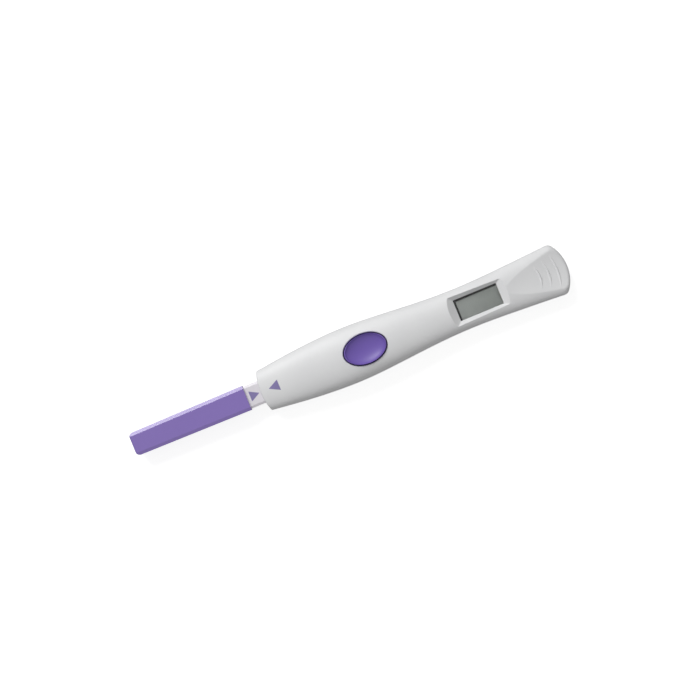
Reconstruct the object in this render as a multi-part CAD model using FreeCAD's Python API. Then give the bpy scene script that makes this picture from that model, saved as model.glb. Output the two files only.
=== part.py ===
import FreeCAD, Part

# Digital ovulation test: a reusable reader with a display, and the capped test stick in its nose.
# Millimetres. X runs along the holder from the stick to the thumb grip, Z is up on the display side,
# and the origin is on the flat underside at the middle of the holder. "Place" is a distance from the nose.

import math
import os
from typing import NamedTuple

from FreeCAD import Vector

# Holder
holder_length = 125.0
parting_height = 6.0
wall = 1.2
nose_radius = 25.0
tail_radius = 15.5
nose_rounding = 0.6
tail_rounding = 2.6
seam_depth = 0.15
seam_width = 0.2
side_fullness = 0.88
crown_fullness = 0.78
loft_overrun = 3.0

# Holder widths from nose to tail
nose_width = 15.5
shoulder_width = 21.5
waist_width = 16.4
tail_width = 20.7
shoulder_place = 37.0
waist_from_tail = 39.0
waist_lead = 0.13
tail_flare = 1.3

# Holder crown and belly heights, where a belly below zero is cut to the flat back
nose_crown = 10.3
top_crown = 13.5
tail_crown = 9.4
top_place = 45.0
tail_fall = 1.2
nose_belly = 1.8
middle_belly = -0.6
tail_belly = 0.9
nose_lift_length = 30.0
tail_lift_length = 33.0

# Test stick
stick_width = 8.9
stick_height = 3.6
stick_depth = 32.0
stick_wall = 0.8
stick_skin = 0.6
stick_bevel_width = 0.9
stick_bevel_drop = 0.4
neck_length = 5.7
plug_length = 5.8
plug_step = 0.3
slot_clearance = 0.15

# Cap
cap_tip_width = 9.0
cap_mouth_width = 9.8
cap_tip_height = 5.0
cap_mouth_height = 5.6
cap_corner = 1.7
cap_bevel_width = 1.25
cap_bevel_drop = 0.45
cap_tip_chamfer = 0.5
cap_wall = 0.8
cap_clearance = 0.1
cap_wick_room = 0.4
cap_wick_gap = 2.0

# Sampler and strip
wick_length = 46.0
wick_width = 6.0
wick_height = 2.2
wick_inset = 3.0
strip_end_gap = 3.0
strip_height = 0.3
strip_rib_thickness = 0.8
pad_height = 0.6
conjugate_length = 6.0
sink_length = 7.0
window_shares = (0.3125, 0.46875, 0.625)
window_length = 1.4
window_width = 4.4

# Eject button
button_place = 42.5
button_length = 16.6
button_width = 11.0
button_gap = 0.4
button_proud = 0.7
button_dish = 2.4
button_rim = 0.45
button_rim_rounding = 0.3
button_skirt = 0.9
button_travel = 2.0
flange_lip = 1.2
flange_height = 0.8
flange_top = 9.8
collar_wall = 0.9
hole_rounding = 0.4

# Ejector slide
eject_travel = 3.0
ejector_width = 11.8
ejector_plate = 1.0
pusher_length = 1.8
pusher_width = 8.0
ramp_width = 3.2
leg_length = 1.6
leg_start = 3.0
slide_clearance = 0.05

# Button spring
spring_offset = 4.6
spring_diameter = 4.0
spring_wire = 0.35
spring_turns = 4.0
spring_steps = 10
spring_wire_sides = 6
spring_pin_radius = 1.2
spring_pin_height = 1.2
spring_pin_drop = 0.8
spring_post_radius = 2.0
spring_seat = 5.0

# Circuit board and what it carries
board_bottom = 2.4
board_thickness = 0.8
board_front_width = 8.2
board_middle_width = 9.6
board_display_width = 11.2
board_tail_width = 8.4
board_start_share = 0.1875
board_gap = 0.15
neck_lap = 2.0
display_board_lead = 4.0
display_board_trail = 2.0
reader_start_share = 0.2125
reader_length_share = 0.54375
reader_width = 7.2
chip_height = 0.6
chip_length = 1.0
chip_width = 1.3
chip_side = 1.2
controller_diameter = 6.4
controller_height = 1.3
component_lead = 12.0
component_pitch = 3.0
component_rows = 3
component_length = 1.6
component_width = 0.8
component_height = 0.5
component_side = 3.2
switch_share = 0.875
switch_length = 2.8
switch_height = 0.6
switch_side = 0.6
switch_width = 2.6
lever_length = 0.8
lever_width = 1.0
lever_gap = 0.1

# Display, placed from the tail
display_from_tail = 36.45
opening_length = 17.5
opening_width = 8.3
bezel_rise = 2.4
bezel_nose_spread = 2.6
bezel_tail_spread = 4.4
bezel_side_spread = 2.4
bezel_corner = 0.8
recess_floor = 9.3
opening_wall = 0.6
window_thickness = 0.6
window_border = 1.2
gasket_thickness = 0.3
gasket_shift = 0.33
glass_thickness = 0.55
film_thickness = 0.2
glass_length = 20.6
glass_width = 11.0
film_border = 0.6
ledge_width = 1.4
frame_wall = 0.6
frame_margin = 0.1
zebra_width = 1.0
zebra_end = 0.7

# Battery, placed from the tail
cell_from_tail = 10.5
cell_diameter = 16.0
cell_thickness = 1.6
cell_step = 0.3
cell_cap_inset = 1.2
cell_clearance = 0.2
contact_thickness = 0.2
contact_width = 3.2
contact_lap = 4.0
contact_reach = 3.0
arm_width = 2.0
arm_gap = 0.4
arm_foot = 3.0
arm_reach = 2.0

# Thumb grip, placed from the tail
dish_from_tail = 24.0
dish_radius = 45.0
dish_start_drop = 0.0776
dish_end_drop = 1.9
dish_rounding = 1.5
rib_count = 3
rib_from_tail = 4.3
rib_pitch = 3.55
rib_half_span = 7.4
rib_taper = 1.25
rib_bow = 1.4
rib_thickness = 0.9
rib_sink = 0.1
rib_end_sink = 0.55

# Casing pegs
peg_radius = 0.6
peg_boss_radius = 1.2
peg_length = 2.5
peg_root = 0.5
peg_clearance = 0.05
front_peg_place = 24.0
front_peg_side = 7.3
middle_peg_side = 6.5
tail_peg_side = 6.4

# Ribs, rails and ledges inside the casing
press_rib_places = (7.5, 17.5, 26.5)
press_rib_thickness = 1.0
rail_thickness = 1.0
ledge_thickness = 1.2
touch_gap = 0.1


class Station(NamedTuple):
    """One cross-section of the holder: its place, full width, crown height and belly height."""

    place: float
    width: float
    crown: float
    belly: float


class GripRib(NamedTuple):
    """One raised arc in the thumb grip: its apex from the tail, half span and bow."""

    from_tail: float
    half_span: float
    bow: float


# Heights that follow from the sizes above
stick_bottom = parting_height - stick_height / 2
stick_top = parting_height + stick_height / 2
board_top = board_bottom + board_thickness
opening_bottom = recess_floor - opening_wall
window_bottom = opening_bottom - window_thickness
film_top = window_bottom - gasket_thickness
front_glass_top = film_top - film_thickness
rear_glass_top = front_glass_top - glass_thickness
reflector_top = rear_glass_top - glass_thickness
display_place = holder_length - display_from_tail
cell_place = holder_length - cell_from_tail
cell_bottom = board_top + contact_thickness
flange_bottom = flange_top - flange_height
collar_bottom = flange_top + 0.1
ejector_bottom = stick_bottom + slide_clearance
plate_top = ejector_bottom + ejector_plate
ramp_slope = button_travel / eject_travel
board_end = cell_place - cell_diameter / 2 - 0.9
display_board_start = display_place - glass_length / 2 - display_board_lead
display_board_end = display_place + glass_length / 2 + display_board_trail
display_frame_start = display_place - glass_length / 2 - frame_margin - frame_wall
spring_place = button_place + spring_offset
hole_half_length = button_length / 2 + button_gap
hole_half_width = button_width / 2 + button_gap
collar_end = button_place + hole_half_length + collar_wall
controller_place = (spring_place + spring_post_radius + display_frame_start) / 2
strip_length = stick_depth + wick_inset - strip_end_gap
cap_length = wick_length + wick_inset - neck_length + cap_wick_gap + 1.5 * cap_wall
board_start = board_start_share * stick_depth
reader_start = reader_start_share * stick_depth
reader_length = reader_length_share * stick_depth
switch_place = switch_share * stick_depth
window_places = [share * stick_depth for share in window_shares]
far = 60.0


def eased(share):
    """A share from 0 to 1 that starts and ends level."""
    return (1 - math.cos(math.pi * share)) / 2


def width_at(place):
    """Width of the holder: a quick swell from the nose, a waist under the display and a flared tail."""
    waist_place = holder_length - waist_from_tail
    if place < shoulder_place:
        swell = math.sin(math.pi / 2 * place / shoulder_place)
        return nose_width + (shoulder_width - nose_width) * swell
    if place < waist_place:
        share = (place - shoulder_place) / (waist_place - shoulder_place)
        draw = eased(share) + waist_lead * math.sin(math.pi * share) ** 2
        return shoulder_width + (waist_width - shoulder_width) * draw
    share = (place - waist_place) / waist_from_tail
    return waist_width + (tail_width - waist_width) * share**tail_flare


def crown_at(place):
    """Height of the crown: it rises to the button and falls away to the tail."""
    if place < top_place:
        rise = math.sin(math.pi / 2 * place / top_place)
        return nose_crown + (top_crown - nose_crown) * rise
    share = (place - top_place) / (holder_length - top_place)
    return top_crown + (tail_crown - top_crown) * share**tail_fall


def belly_at(place):
    """Height of the belly, which lifts off the flat back at both ends."""
    nose_share = max(0.0, 1 - place / nose_lift_length)
    tail_share = max(0.0, 1 - (holder_length - place) / tail_lift_length)
    lift = (nose_belly - middle_belly) * nose_share**2 + (tail_belly - middle_belly) * tail_share**2
    return middle_belly + lift


def station_at(place):
    """The cross-section at a place."""
    return Station(place, width_at(place), crown_at(place), belly_at(place))


def stations_with(steps):
    """Cross-sections from nose to tail, with so many steps to the shoulder, the waist and the tail."""
    bounds = (0.0, shoulder_place, holder_length - waist_from_tail, holder_length)
    run = []
    for start, end, count in zip(bounds, bounds[1:], steps):
        run += [station_at(start + (end - start) * step / count) for step in range(count)]
    return run + [station_at(holder_length)]


def rib_at(index):
    """One grip rib, counted from the tail: each next one is shorter."""
    half_span = rib_half_span - rib_taper * index
    return GripRib(rib_from_tail + rib_pitch * index, half_span, rib_bow)


stations = stations_with((4, 3, 3))
dish_start_height = crown_at(holder_length - dish_from_tail) - dish_start_drop
dish_end_height = tail_crown - dish_end_drop
grip_ribs = [rib_at(index) for index in range(rib_count)]


def along(place):
    """X of a place measured from the nose."""
    return place - holder_length / 2


def block(start, end, half_width, bottom, top):
    """A box between two places, symmetric about the middle plane."""
    return side_block(start, end, -half_width, half_width, bottom, top)


def side_block(start, end, near, away, bottom, top):
    """A box between two places and two Y values."""
    corner = Vector(along(start), near, bottom)
    return Part.makeBox(end - start, away - near, top - bottom, corner)


def post(place, side, radius, bottom, top):
    """An upright cylinder at a place and a Y value."""
    return Part.makeCylinder(radius, top - bottom, Vector(along(place), side, bottom))


def oval(half_length, half_width, bottom, top):
    """An upright elliptical prism centred on the button."""
    centre = Vector(along(button_place), 0, bottom)
    curve = Part.Ellipse(centre, half_length, half_width)
    face = Part.Face(Part.Wire([curve.toShape()]))
    return face.extrude(Vector(0, 0, top - bottom))


def joined(shapes):
    """One shape fused from several."""
    first = shapes[0]
    rest = shapes[1:]
    return first.multiFuse(rest).removeSplitter() if rest else first


def beyond(inner, outer, distance):
    """A station extrapolated past the outer one, so that a loft runs through the end cuts."""
    ratio = distance / abs(outer.place - inner.place)
    values = [b + (b - a) * ratio for a, b in zip(inner, outer)]
    return Station(*values)


def half_section(station, inset, height):
    """The smooth curve from one side of the parting plane over the crown, or the belly, to the other."""
    x = along(station.place)
    side = station.width / 2 - inset
    middle = (32 - 10 * side_fullness) / 20
    poles = [
        Vector(x, side, parting_height),
        Vector(x, side, parting_height + side_fullness * height),
        Vector(x, crown_fullness * side, parting_height + middle * height),
        Vector(x, -crown_fullness * side, parting_height + middle * height),
        Vector(x, -side, parting_height + side_fullness * height),
        Vector(x, -side, parting_height),
    ]
    curve = Part.BezierCurve()
    curve.setPoles(poles)
    return curve.toShape()


def section(station, inset):
    """The closed cross-section at a station, inset all round by a wall."""
    up = station.crown - parting_height - inset
    down = station.belly - parting_height + inset
    crown = half_section(station, inset, up)
    belly = half_section(station, inset, down)
    return Part.Wire([crown, belly])


def body_loft(inset):
    """The crowned body lofted through the stations, longer than the holder at both ends."""
    run = [beyond(stations[1], stations[0], loft_overrun)] + stations
    run.append(beyond(stations[-2], stations[-1], loft_overrun))
    return Part.makeLoft([section(station, inset) for station in run], True, False)


def end_arc(apex, radius, direction):
    """The arc that ends the plan outline, bulging in the given X direction."""
    reach = 0.8 * tail_radius
    sagitta = radius - math.sqrt(radius * radius - reach * reach)
    left = Vector(apex - direction * sagitta, reach, -far)
    right = Vector(apex - direction * sagitta, -reach, -far)
    return left, right, Part.Arc(left, Vector(apex, 0, -far), right).toShape()


def plan_prism(inset):
    """The prism between the convex nose and the convex tail."""
    nose_left, nose_right, nose = end_arc(along(inset), nose_radius - inset, -1)
    tail_left, tail_right, tail = end_arc(along(holder_length - inset), tail_radius - inset, 1)
    near = Part.LineSegment(nose_right, tail_right).toShape()
    away = Part.LineSegment(tail_left, nose_left).toShape()
    outline = Part.Wire(Part.sortEdges([nose, near, tail, away])[0])
    return Part.Face(outline).extrude(Vector(0, 0, 2 * far))


def dish_line():
    """The lowest line of the thumb dish: its start and its direction down to the tail."""
    start = Vector(along(holder_length - dish_from_tail), 0, dish_start_height)
    end = Vector(along(holder_length), 0, dish_end_height)
    return start, (end - start).normalize()


def dish_cylinder(wall_below):
    """The inclined cylinder that scoops the thumb dish, grown by a wall for the inside."""
    start, direction = dish_line()
    upward = Vector(-direction.z, 0, direction.x)
    base = start + upward * dish_radius - direction * dish_from_tail
    return Part.makeCylinder(dish_radius + wall_below, 3 * dish_from_tail, base, direction)


def dish_point(from_tail, side, sink):
    """A point at a depth below the dish floor, so that a rib sits in the surface."""
    start, direction = dish_line()
    travel = (dish_from_tail - from_tail) / direction.x
    upward = Vector(-direction.z, 0, direction.x)
    rise = dish_radius - math.sqrt(dish_radius * dish_radius - side * side)
    return start + direction * travel + upward * (rise - sink) + Vector(0, side, 0)


def grip_rib(rib):
    """A raised round rib along an arc of the thumb dish, bowed toward the tail, with its ends sunk away."""
    middle = dish_point(rib.from_tail, 0.0, rib_sink)
    left = dish_point(rib.from_tail + rib.bow, rib.half_span, rib_end_sink)
    right = dish_point(rib.from_tail + rib.bow, -rib.half_span, rib_end_sink)
    path = Part.Wire([Part.Arc(left, middle, right).toShape()])
    arc = path.Edges[0]
    tangent = arc.tangentAt(arc.FirstParameter)
    profile = Part.Wire([Part.makeCircle(rib_thickness / 2, left, tangent)])
    return path.makePipeShell([profile], True, False)


def outer_edges(shape, start, end):
    """The edges of a shape whose middle lies between two X values."""
    return [edge for edge in shape.Edges if start < edge.CenterOfMass.x < end]


def display_recess():
    """The sloped bezel round the display opening, and the opening itself."""
    reach = 2.0
    start = display_place - opening_length / 2
    end = display_place + opening_length / 2

    def rectangle(share, height):
        nose_end = along(start - bezel_nose_spread * share)
        tail_end = along(end + bezel_tail_spread * share)
        side = opening_width / 2 + bezel_side_spread * share
        corners = [
            Vector(nose_end, -side, height),
            Vector(tail_end, -side, height),
            Vector(tail_end, side, height),
            Vector(nose_end, side, height),
        ]
        return Part.makePolygon(corners + corners[:1])

    low = rectangle(0.0, recess_floor)
    high = rectangle(reach, recess_floor + reach * bezel_rise)
    slope = Part.makeLoft([low, high], True, True)
    corners = [edge for edge in slope.Edges if edge.BoundBox.ZLength > bezel_rise]
    slope = slope.makeFillet(bezel_corner, corners)
    opening = block(start, end, opening_width / 2, recess_floor - wall, recess_floor + wall)
    return slope.fuse(opening)


def casing_body():
    """The closed outer form of the holder with its rounded ends, flat back, dish and grip ribs."""
    body = body_loft(0.0).common(plan_prism(0.0))
    last = along(holder_length - tail_rounding)
    first = along(nose_rounding + 1.5)
    body = body.makeFillet(tail_rounding, outer_edges(body, last - 1.5, far * 2))
    body = body.makeFillet(nose_rounding, outer_edges(body, -far * 2, first))
    body = body.cut(Part.makeBox(4 * far, far, far, Vector(-2 * far, -far / 2, -far)))
    body = body.cut(dish_cylinder(0.0))
    cylinders = [face for face in body.Faces if isinstance(face.Surface, Part.Cylinder)]
    dish = max(cylinders, key=lambda face: face.Surface.Radius)
    rim = max(dish.Edges, key=lambda edge: edge.Length)
    body = body.makeFillet(dish_rounding, [rim])
    return body.multiFuse([grip_rib(rib) for rib in grip_ribs])


def seam_groove():
    """The fine groove round the parting plane where the two casing halves meet."""
    core = body_loft(seam_depth).common(plan_prism(seam_depth))
    low = parting_height - seam_width / 2
    slab = Part.makeBox(4 * far, far, seam_width, Vector(-2 * far, -far / 2, low))
    return slab.cut(core)


def casing_cavity():
    """The room inside both casing halves, above the floor and below the thumb dish."""
    cavity = body_loft(wall).common(plan_prism(wall))
    cavity = cavity.cut(Part.makeBox(4 * far, far, far, Vector(-2 * far, -far / 2, wall - far)))
    cavity = cavity.cut(dish_cylinder(wall))
    cell_radius = cell_diameter / 2 + cell_clearance
    cell = post(cell_place, 0.0, cell_radius, board_bottom, cell_bottom + cell_thickness)
    return cavity.fuse(cell)


def board_pocket():
    """The room that the circuit board needs inside the rear casing."""
    margin = board_gap
    display = block(
        display_board_start - margin,
        display_board_end + margin,
        board_display_width / 2 + margin,
        board_bottom,
        parting_height,
    )
    front = block(
        board_start - margin, stick_depth, board_front_width / 2 + margin, board_bottom, stick_bottom
    )
    return joined([display, front])


def stick_slot():
    """The slot in the nose that takes the test stick."""
    half_width = stick_width / 2 + slot_clearance
    bottom = stick_bottom - slot_clearance
    top = stick_top + slot_clearance
    return block(-3.0, 2 * wall, half_width, bottom, top)


def peg_places():
    """The places and sides of the pegs that join the casing halves."""
    middle = (collar_end + display_frame_start) / 2
    tail = board_end - peg_boss_radius - 1.0
    return [(front_peg_place, front_peg_side), (middle, middle_peg_side), (tail, tail_peg_side)]


def both_sides(make, places):
    """The same feature at each place, on both sides of the middle plane."""
    return [make(place, sign * side) for place, side in places for sign in (-1, 1)]


def upper_half():
    """A box that holds everything above the parting plane."""
    return Part.makeBox(4 * far, far, far, Vector(-2 * far, -far / 2, parting_height))


def front_casing(body, cavity, groove):
    """The display-side shell with the button collar, display opening, press ribs and pegs."""
    collar = oval(hole_half_length + collar_wall, hole_half_width + collar_wall, collar_bottom, far)
    start = display_place - opening_length / 2 - bezel_nose_spread - wall
    end = display_place + opening_length / 2 + bezel_tail_spread + wall
    bezel = block(start, end, far / 4, opening_bottom, far)
    press_top = stick_top + slot_clearance
    stick_ribs = [
        block(place, place + press_rib_thickness, stick_width / 2, press_top, far)
        for place in press_rib_places
    ]
    cell_top = cell_bottom + cell_thickness + contact_thickness + touch_gap
    start = cell_place - rail_thickness
    cell_rib = block(start, cell_place + rail_thickness, cell_diameter / 3, cell_top, far)
    hold_start = button_place - hole_half_length - collar_wall + 0.2
    hold_downs = [
        side_block(hold_start, hold_start + ledge_thickness, near, near + 1.6, plate_top + touch_gap, far)
        for near in (-ejector_width / 2 - 0.9, ejector_width / 2 - 0.7)
    ]
    bosses = both_sides(lambda p, y: post(p, y, peg_boss_radius, parting_height, far), peg_places())
    room = cavity.common(upper_half()).cut(joined([collar, bezel, cell_rib]))
    room = room.cut(stick_ribs + hold_downs + bosses)
    shell = body.common(upper_half()).cut(room)
    shell = shell.cut(groove)
    shell = shell.cut(oval(hole_half_length, hole_half_width, parting_height, far))
    lip = [
        edge
        for edge in shell.Edges
        if edge.CenterOfMass.z > collar_bottom + hole_rounding
        and abs(edge.BoundBox.XLength - 2 * hole_half_length) < button_gap / 2
    ]
    shell = shell.makeFillet(hole_rounding, lip)
    shell = shell.cut([display_recess(), stick_slot()])
    peg_bottom = parting_height - peg_length
    peg_top = parting_height + peg_root
    pegs = both_sides(lambda p, y: post(p, y, peg_radius, peg_bottom, peg_top), peg_places())
    return shell.multiFuse(pegs).removeSplitter()


def rear_casing(body, cavity, groove):
    """The plain flat-backed shell with stick rails, ejector track, board ledges, cradle and bosses."""
    rail_inner = stick_width / 2 + slot_clearance
    rails = [
        side_block(wall, stick_depth - 2.0, near, near + rail_thickness, 0.0, parting_height)
        for near in (rail_inner, -rail_inner - rail_thickness)
    ]
    track_inner = board_middle_width / 2 + board_gap
    track_outer = ejector_width / 2 + slot_clearance
    track_start = stick_depth - eject_travel + 1.5
    track_rim = track_outer + rail_thickness
    track_top = ejector_bottom - slide_clearance
    guide_top = parting_height - 2 * touch_gap
    track = []
    for sign in (-1, 1):
        ledge = sorted((sign * track_inner, sign * track_rim))
        guide = sorted((sign * track_outer, sign * track_rim))
        track.append(side_block(track_start, spring_place, ledge[0], ledge[1], 0.0, track_top))
        track.append(side_block(track_start, spring_place, guide[0], guide[1], 0.0, guide_top))
    ledge_places = (
        board_start + 1.0,
        stick_depth + 1.5,
        controller_place - controller_diameter,
        display_board_start + 1.0,
        display_place,
        board_end - 2.0,
    )
    ledges = [block(place, place + ledge_thickness, far / 4, 0.0, board_bottom) for place in ledge_places]
    start = cell_place - 3 / 8 * cell_diameter
    end = cell_place + 3 / 8 * cell_diameter
    cradle = [
        side_block(start, end, near, near + rail_thickness, 0.0, cell_bottom)
        for near in (-cell_diameter / 3, cell_diameter / 3 - rail_thickness)
    ]
    pad_reach = cell_diameter / 4
    contact_pad = block(cell_place - pad_reach, cell_place + pad_reach, contact_width / 2, 0.0, board_top)
    seat = post(spring_place, 0.0, spring_post_radius, 0.0, spring_seat)
    bosses = both_sides(lambda p, y: post(p, y, peg_boss_radius, 0.0, parting_height), peg_places())
    lower = Part.makeBox(4 * far, far, far, Vector(-2 * far, -far / 2, parting_height - far))
    room = cavity.common(lower).cut(rails + track + ledges + cradle + [contact_pad, seat] + bosses)
    shell = body.common(lower).cut(room)
    shell = shell.cut([groove, board_pocket(), stick_slot()])
    bore_bottom = parting_height - peg_length - peg_clearance
    bore_radius = peg_radius + peg_clearance
    bore_top = parting_height + peg_root
    bores = both_sides(lambda p, y: post(p, y, bore_radius, bore_bottom, bore_top), peg_places())
    shell = shell.cut(bores)
    pin_top = spring_seat + spring_pin_height
    pin = post(spring_place, 0.0, spring_pin_radius, spring_seat - peg_root, pin_top)
    return shell.fuse(pin).removeSplitter()


def button_underside():
    """The height of the ceiling inside the hollow button."""
    return top_crown + button_proud - button_dish - button_skirt


def eject_button():
    """The dished oval button with its skirt, retaining flange, wedge leg and spring pin."""
    half_length = button_length / 2
    half_width = button_width / 2
    ceiling = button_underside()
    stem = oval(half_length, half_width, flange_bottom, far).common(body_loft(-button_proud))
    rim = [edge for edge in stem.Edges if edge.BoundBox.ZMin > flange_top and edge.Length > button_length]
    stem = stem.makeFillet(button_rim_rounding, rim)
    bowl = Part.makeSphere(1.0)
    matrix = FreeCAD.Matrix()
    matrix.scale(half_length - button_rim, half_width + button_rim / 3, button_dish)
    matrix.move(Vector(along(button_place), 0, top_crown + button_proud - 0.1))
    stem = stem.cut(bowl.transformGeometry(matrix))
    flange = oval(half_length + flange_lip, half_width + flange_lip - 0.1, flange_bottom, flange_top)
    hollow = oval(half_length - button_skirt, half_width - button_skirt, flange_bottom - 1, ceiling)
    shell = stem.fuse(flange).cut(hollow)
    start = button_place - leg_start
    foot = ramp_height(leg_start) + slide_clearance
    drop = leg_length * ramp_slope
    points = [
        Vector(along(start), -ramp_width / 2, foot),
        Vector(along(start + leg_length), -ramp_width / 2, foot - drop),
        Vector(along(start + leg_length), -ramp_width / 2, ceiling + 0.3),
        Vector(along(start), -ramp_width / 2, ceiling + 0.3),
    ]
    leg = Part.Face(Part.makePolygon(points + points[:1])).extrude(Vector(0, ramp_width, 0))
    pin = post(spring_place, 0.0, spring_pin_radius, ceiling - spring_pin_drop, ceiling + 0.3)
    return shell.multiFuse([leg, pin]).removeSplitter()


def ramp_reach():
    """How far the wedge runs past the leg start, so that the leg stays on it over the whole travel."""
    return leg_length + eject_travel


def ramp_height(before_button):
    """Height of the wedge face at a distance before the button's centre."""
    return plate_top + (ramp_reach() - leg_start + before_button) * ramp_slope


def ejector_slide():
    """The slide that the button wedges toward the nose: pusher head, plate and ramp."""
    pusher_end = stick_depth + pusher_length
    pusher = block(stick_depth, pusher_end, pusher_width / 2, ejector_bottom, stick_top - 0.4)
    plate_end = spring_place - spring_post_radius - 0.3
    plate = block(pusher_end - 0.4, plate_end, ejector_width / 2, ejector_bottom, plate_top)
    start = button_place - leg_start
    top = ramp_height(leg_start)
    points = [
        Vector(along(start), -ramp_width / 2, plate_top - 0.2),
        Vector(along(start + ramp_reach()), -ramp_width / 2, plate_top - 0.2),
        Vector(along(start + ramp_reach()), -ramp_width / 2, plate_top),
        Vector(along(start), -ramp_width / 2, top),
    ]
    ramp = Part.Face(Part.makePolygon(points + points[:1])).extrude(Vector(0, ramp_width, 0))
    return joined([pusher, plate, ramp])


def button_spring():
    """The compression spring between the rear casing's seat and the button's ceiling."""
    radius = (spring_diameter - spring_wire) / 2
    length = button_underside() - spring_seat - spring_wire
    bottom = spring_seat + spring_wire / 2
    count = int(spring_turns * spring_steps)

    def wire_section(step):
        turn = 2 * math.pi * step / spring_steps
        outward = Vector(math.cos(turn), math.sin(turn), 0)
        centre = Vector(along(spring_place), 0, bottom + length * step / count) + outward * radius
        corners = []
        for corner in range(spring_wire_sides):
            angle = 2 * math.pi * corner / spring_wire_sides
            across = outward * math.cos(angle) + Vector(0, 0, math.sin(angle))
            corners.append(centre + across * (spring_wire / 2))
        return Part.makePolygon(corners + corners[:1])

    return Part.makeLoft([wire_section(step) for step in range(count + 1)], True, True)


def circuit_board():
    """The long board: narrow below the stick, wide below the display, with the spring seat's hole."""
    lengths = [
        (board_start, stick_depth + neck_lap, board_front_width),
        (stick_depth + neck_lap, display_board_start, board_middle_width),
        (display_board_start, display_board_end, board_display_width),
        (display_board_end, board_end, board_tail_width),
    ]
    board = joined([block(start, end, width / 2, board_bottom, board_top) for start, end, width in lengths])
    hole = post(spring_place, 0.0, spring_post_radius + 0.3, 0.0, far)
    return board.cut(hole)


def reader_housing():
    """The optical block under the stick, with one light well for each reading window."""
    top = stick_bottom - slot_clearance / 2
    start = reader_start
    body = block(start, start + reader_length, reader_width / 2, board_top, top)
    half = window_length / 2
    wells = [block(p - half, p + half, window_width / 2, board_top - 1, top + 1) for p in window_places]
    return body.cut(wells)


def reader_chips(side):
    """One small chip in each light well, on one side of the middle plane."""
    half = chip_length / 2
    near = side - chip_width / 2
    away = side + chip_width / 2
    top = board_top + chip_height
    chips = [side_block(p - half, p + half, near, away, board_top, top) for p in window_places]
    return Part.makeCompound(chips)


def controller_chip():
    """The domed resin drop over the controller die."""
    radius = controller_diameter / 2
    ball = (radius * radius + controller_height * controller_height) / (2 * controller_height)
    centre = Vector(along(controller_place), 0, board_top + controller_height - ball)
    dome = Part.makeSphere(ball, centre)
    return dome.common(post(controller_place, 0.0, radius, board_top, board_top + controller_height + 1))


def surface_components():
    """The small chip resistors and capacitors between the controller and the button."""
    parts = []
    half = component_width / 2
    top = board_top + component_height
    for row in range(component_rows):
        start = controller_place - component_lead + component_pitch * row
        end = start + component_length
        for side in (-component_side, component_side):
            parts.append(side_block(start, end, side - half, side + half, board_top, top))
    return Part.makeCompound(parts)


def stick_switch():
    """The small switch beside the reader that feels the stick's end."""
    start = switch_place - switch_length / 2
    near = switch_side
    top = board_top + switch_height
    body = side_block(start, start + switch_length, near, near + switch_width, board_top, top)
    lever_near = near + (switch_width - lever_width) / 2
    lever_end = start + lever_gap + lever_length
    lever_top = stick_bottom - lever_gap
    lever_away = lever_near + lever_width
    lever = side_block(start + lever_gap, lever_end, lever_near, lever_away, top - lever_gap, lever_top)
    return joined([body, lever])


def display_layer(border, bottom, top):
    """A flat plate over the display opening with a border all round it."""
    half = opening_length / 2 + border
    return block(display_place - half, display_place + half, opening_width / 2 + border, bottom, top)


def display_glass(bottom, top):
    """A full-size glass of the display."""
    half = glass_length / 2
    return block(display_place - half, display_place + half, glass_width / 2, bottom, top)


def display_window():
    """The clear plate glued below the opening."""
    return display_layer(window_border, window_bottom, opening_bottom)


def display_gasket():
    """The black foam ring on the display, which shows as a fine line along two edges of the opening."""
    outer = display_layer(window_border, film_top, window_bottom)
    start = display_place - opening_length / 2 + 2 * gasket_shift
    end = display_place + opening_length / 2 + gasket_shift
    near = -opening_width / 2 - gasket_shift
    away = opening_width / 2 - 2 * gasket_shift
    return outer.cut(side_block(start, end, near, away, film_top - 1, window_bottom + 1))


def lcd_front_polariser():
    """The film on top of the display."""
    return display_layer(film_border, front_glass_top, film_top)


def lcd_front_glass():
    """The larger glass, whose near edge carries the contacts."""
    return display_glass(rear_glass_top, front_glass_top)


def lcd_rear_glass():
    """The smaller glass, set back from the contact edge."""
    half = glass_length / 2
    near = -glass_width / 2 + ledge_width
    return side_block(
        display_place - half, display_place + half, near, glass_width / 2, reflector_top, rear_glass_top
    )


def lcd_reflector():
    """The reflecting film under the display."""
    half = glass_length / 2 - film_border
    near = -glass_width / 2 + ledge_width + film_border
    away = glass_width / 2 - film_border
    bottom = reflector_top - film_thickness
    return side_block(display_place - half, display_place + half, near, away, bottom, reflector_top)


def display_frame():
    """The moulded frame on the board that carries the glass and holds the rubber connector upright."""
    margin = frame_margin
    half = glass_length / 2 + margin
    outer = block(
        display_frame_start,
        display_place + half + frame_wall,
        glass_width / 2 + margin + frame_wall,
        board_top,
        front_glass_top,
    )
    glass = block(display_place - half, display_place + half, glass_width / 2 + margin, reflector_top, far)
    slot_half = glass_length / 2 - zebra_end + 2 * margin
    slot = side_block(
        display_place - slot_half,
        display_place + slot_half,
        -glass_width / 2,
        -glass_width / 2 + zebra_width + margin,
        0.0,
        far,
    )
    well = side_block(
        display_place - slot_half,
        display_place + slot_half,
        -glass_width / 2 + ledge_width + film_border,
        glass_width / 2 - film_border,
        board_top + frame_wall,
        far,
    )
    return outer.cut([glass, slot, well])


def zebra_connector():
    """The striped rubber strip that joins the board to the glass."""
    half = glass_length / 2 - zebra_end
    near = -glass_width / 2
    away = near + zebra_width
    return side_block(display_place - half, display_place + half, near, away, board_top, rear_glass_top)


def battery_cell():
    """The coin cell in the grip end, with its smaller negative cap below."""
    can_bottom = cell_bottom + cell_step
    can = post(cell_place, 0.0, cell_diameter / 2, can_bottom, cell_bottom + cell_thickness)
    cap = post(cell_place, 0.0, cell_diameter / 2 - cell_cap_inset, cell_bottom, can_bottom)
    return joined([can, cap])


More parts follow.
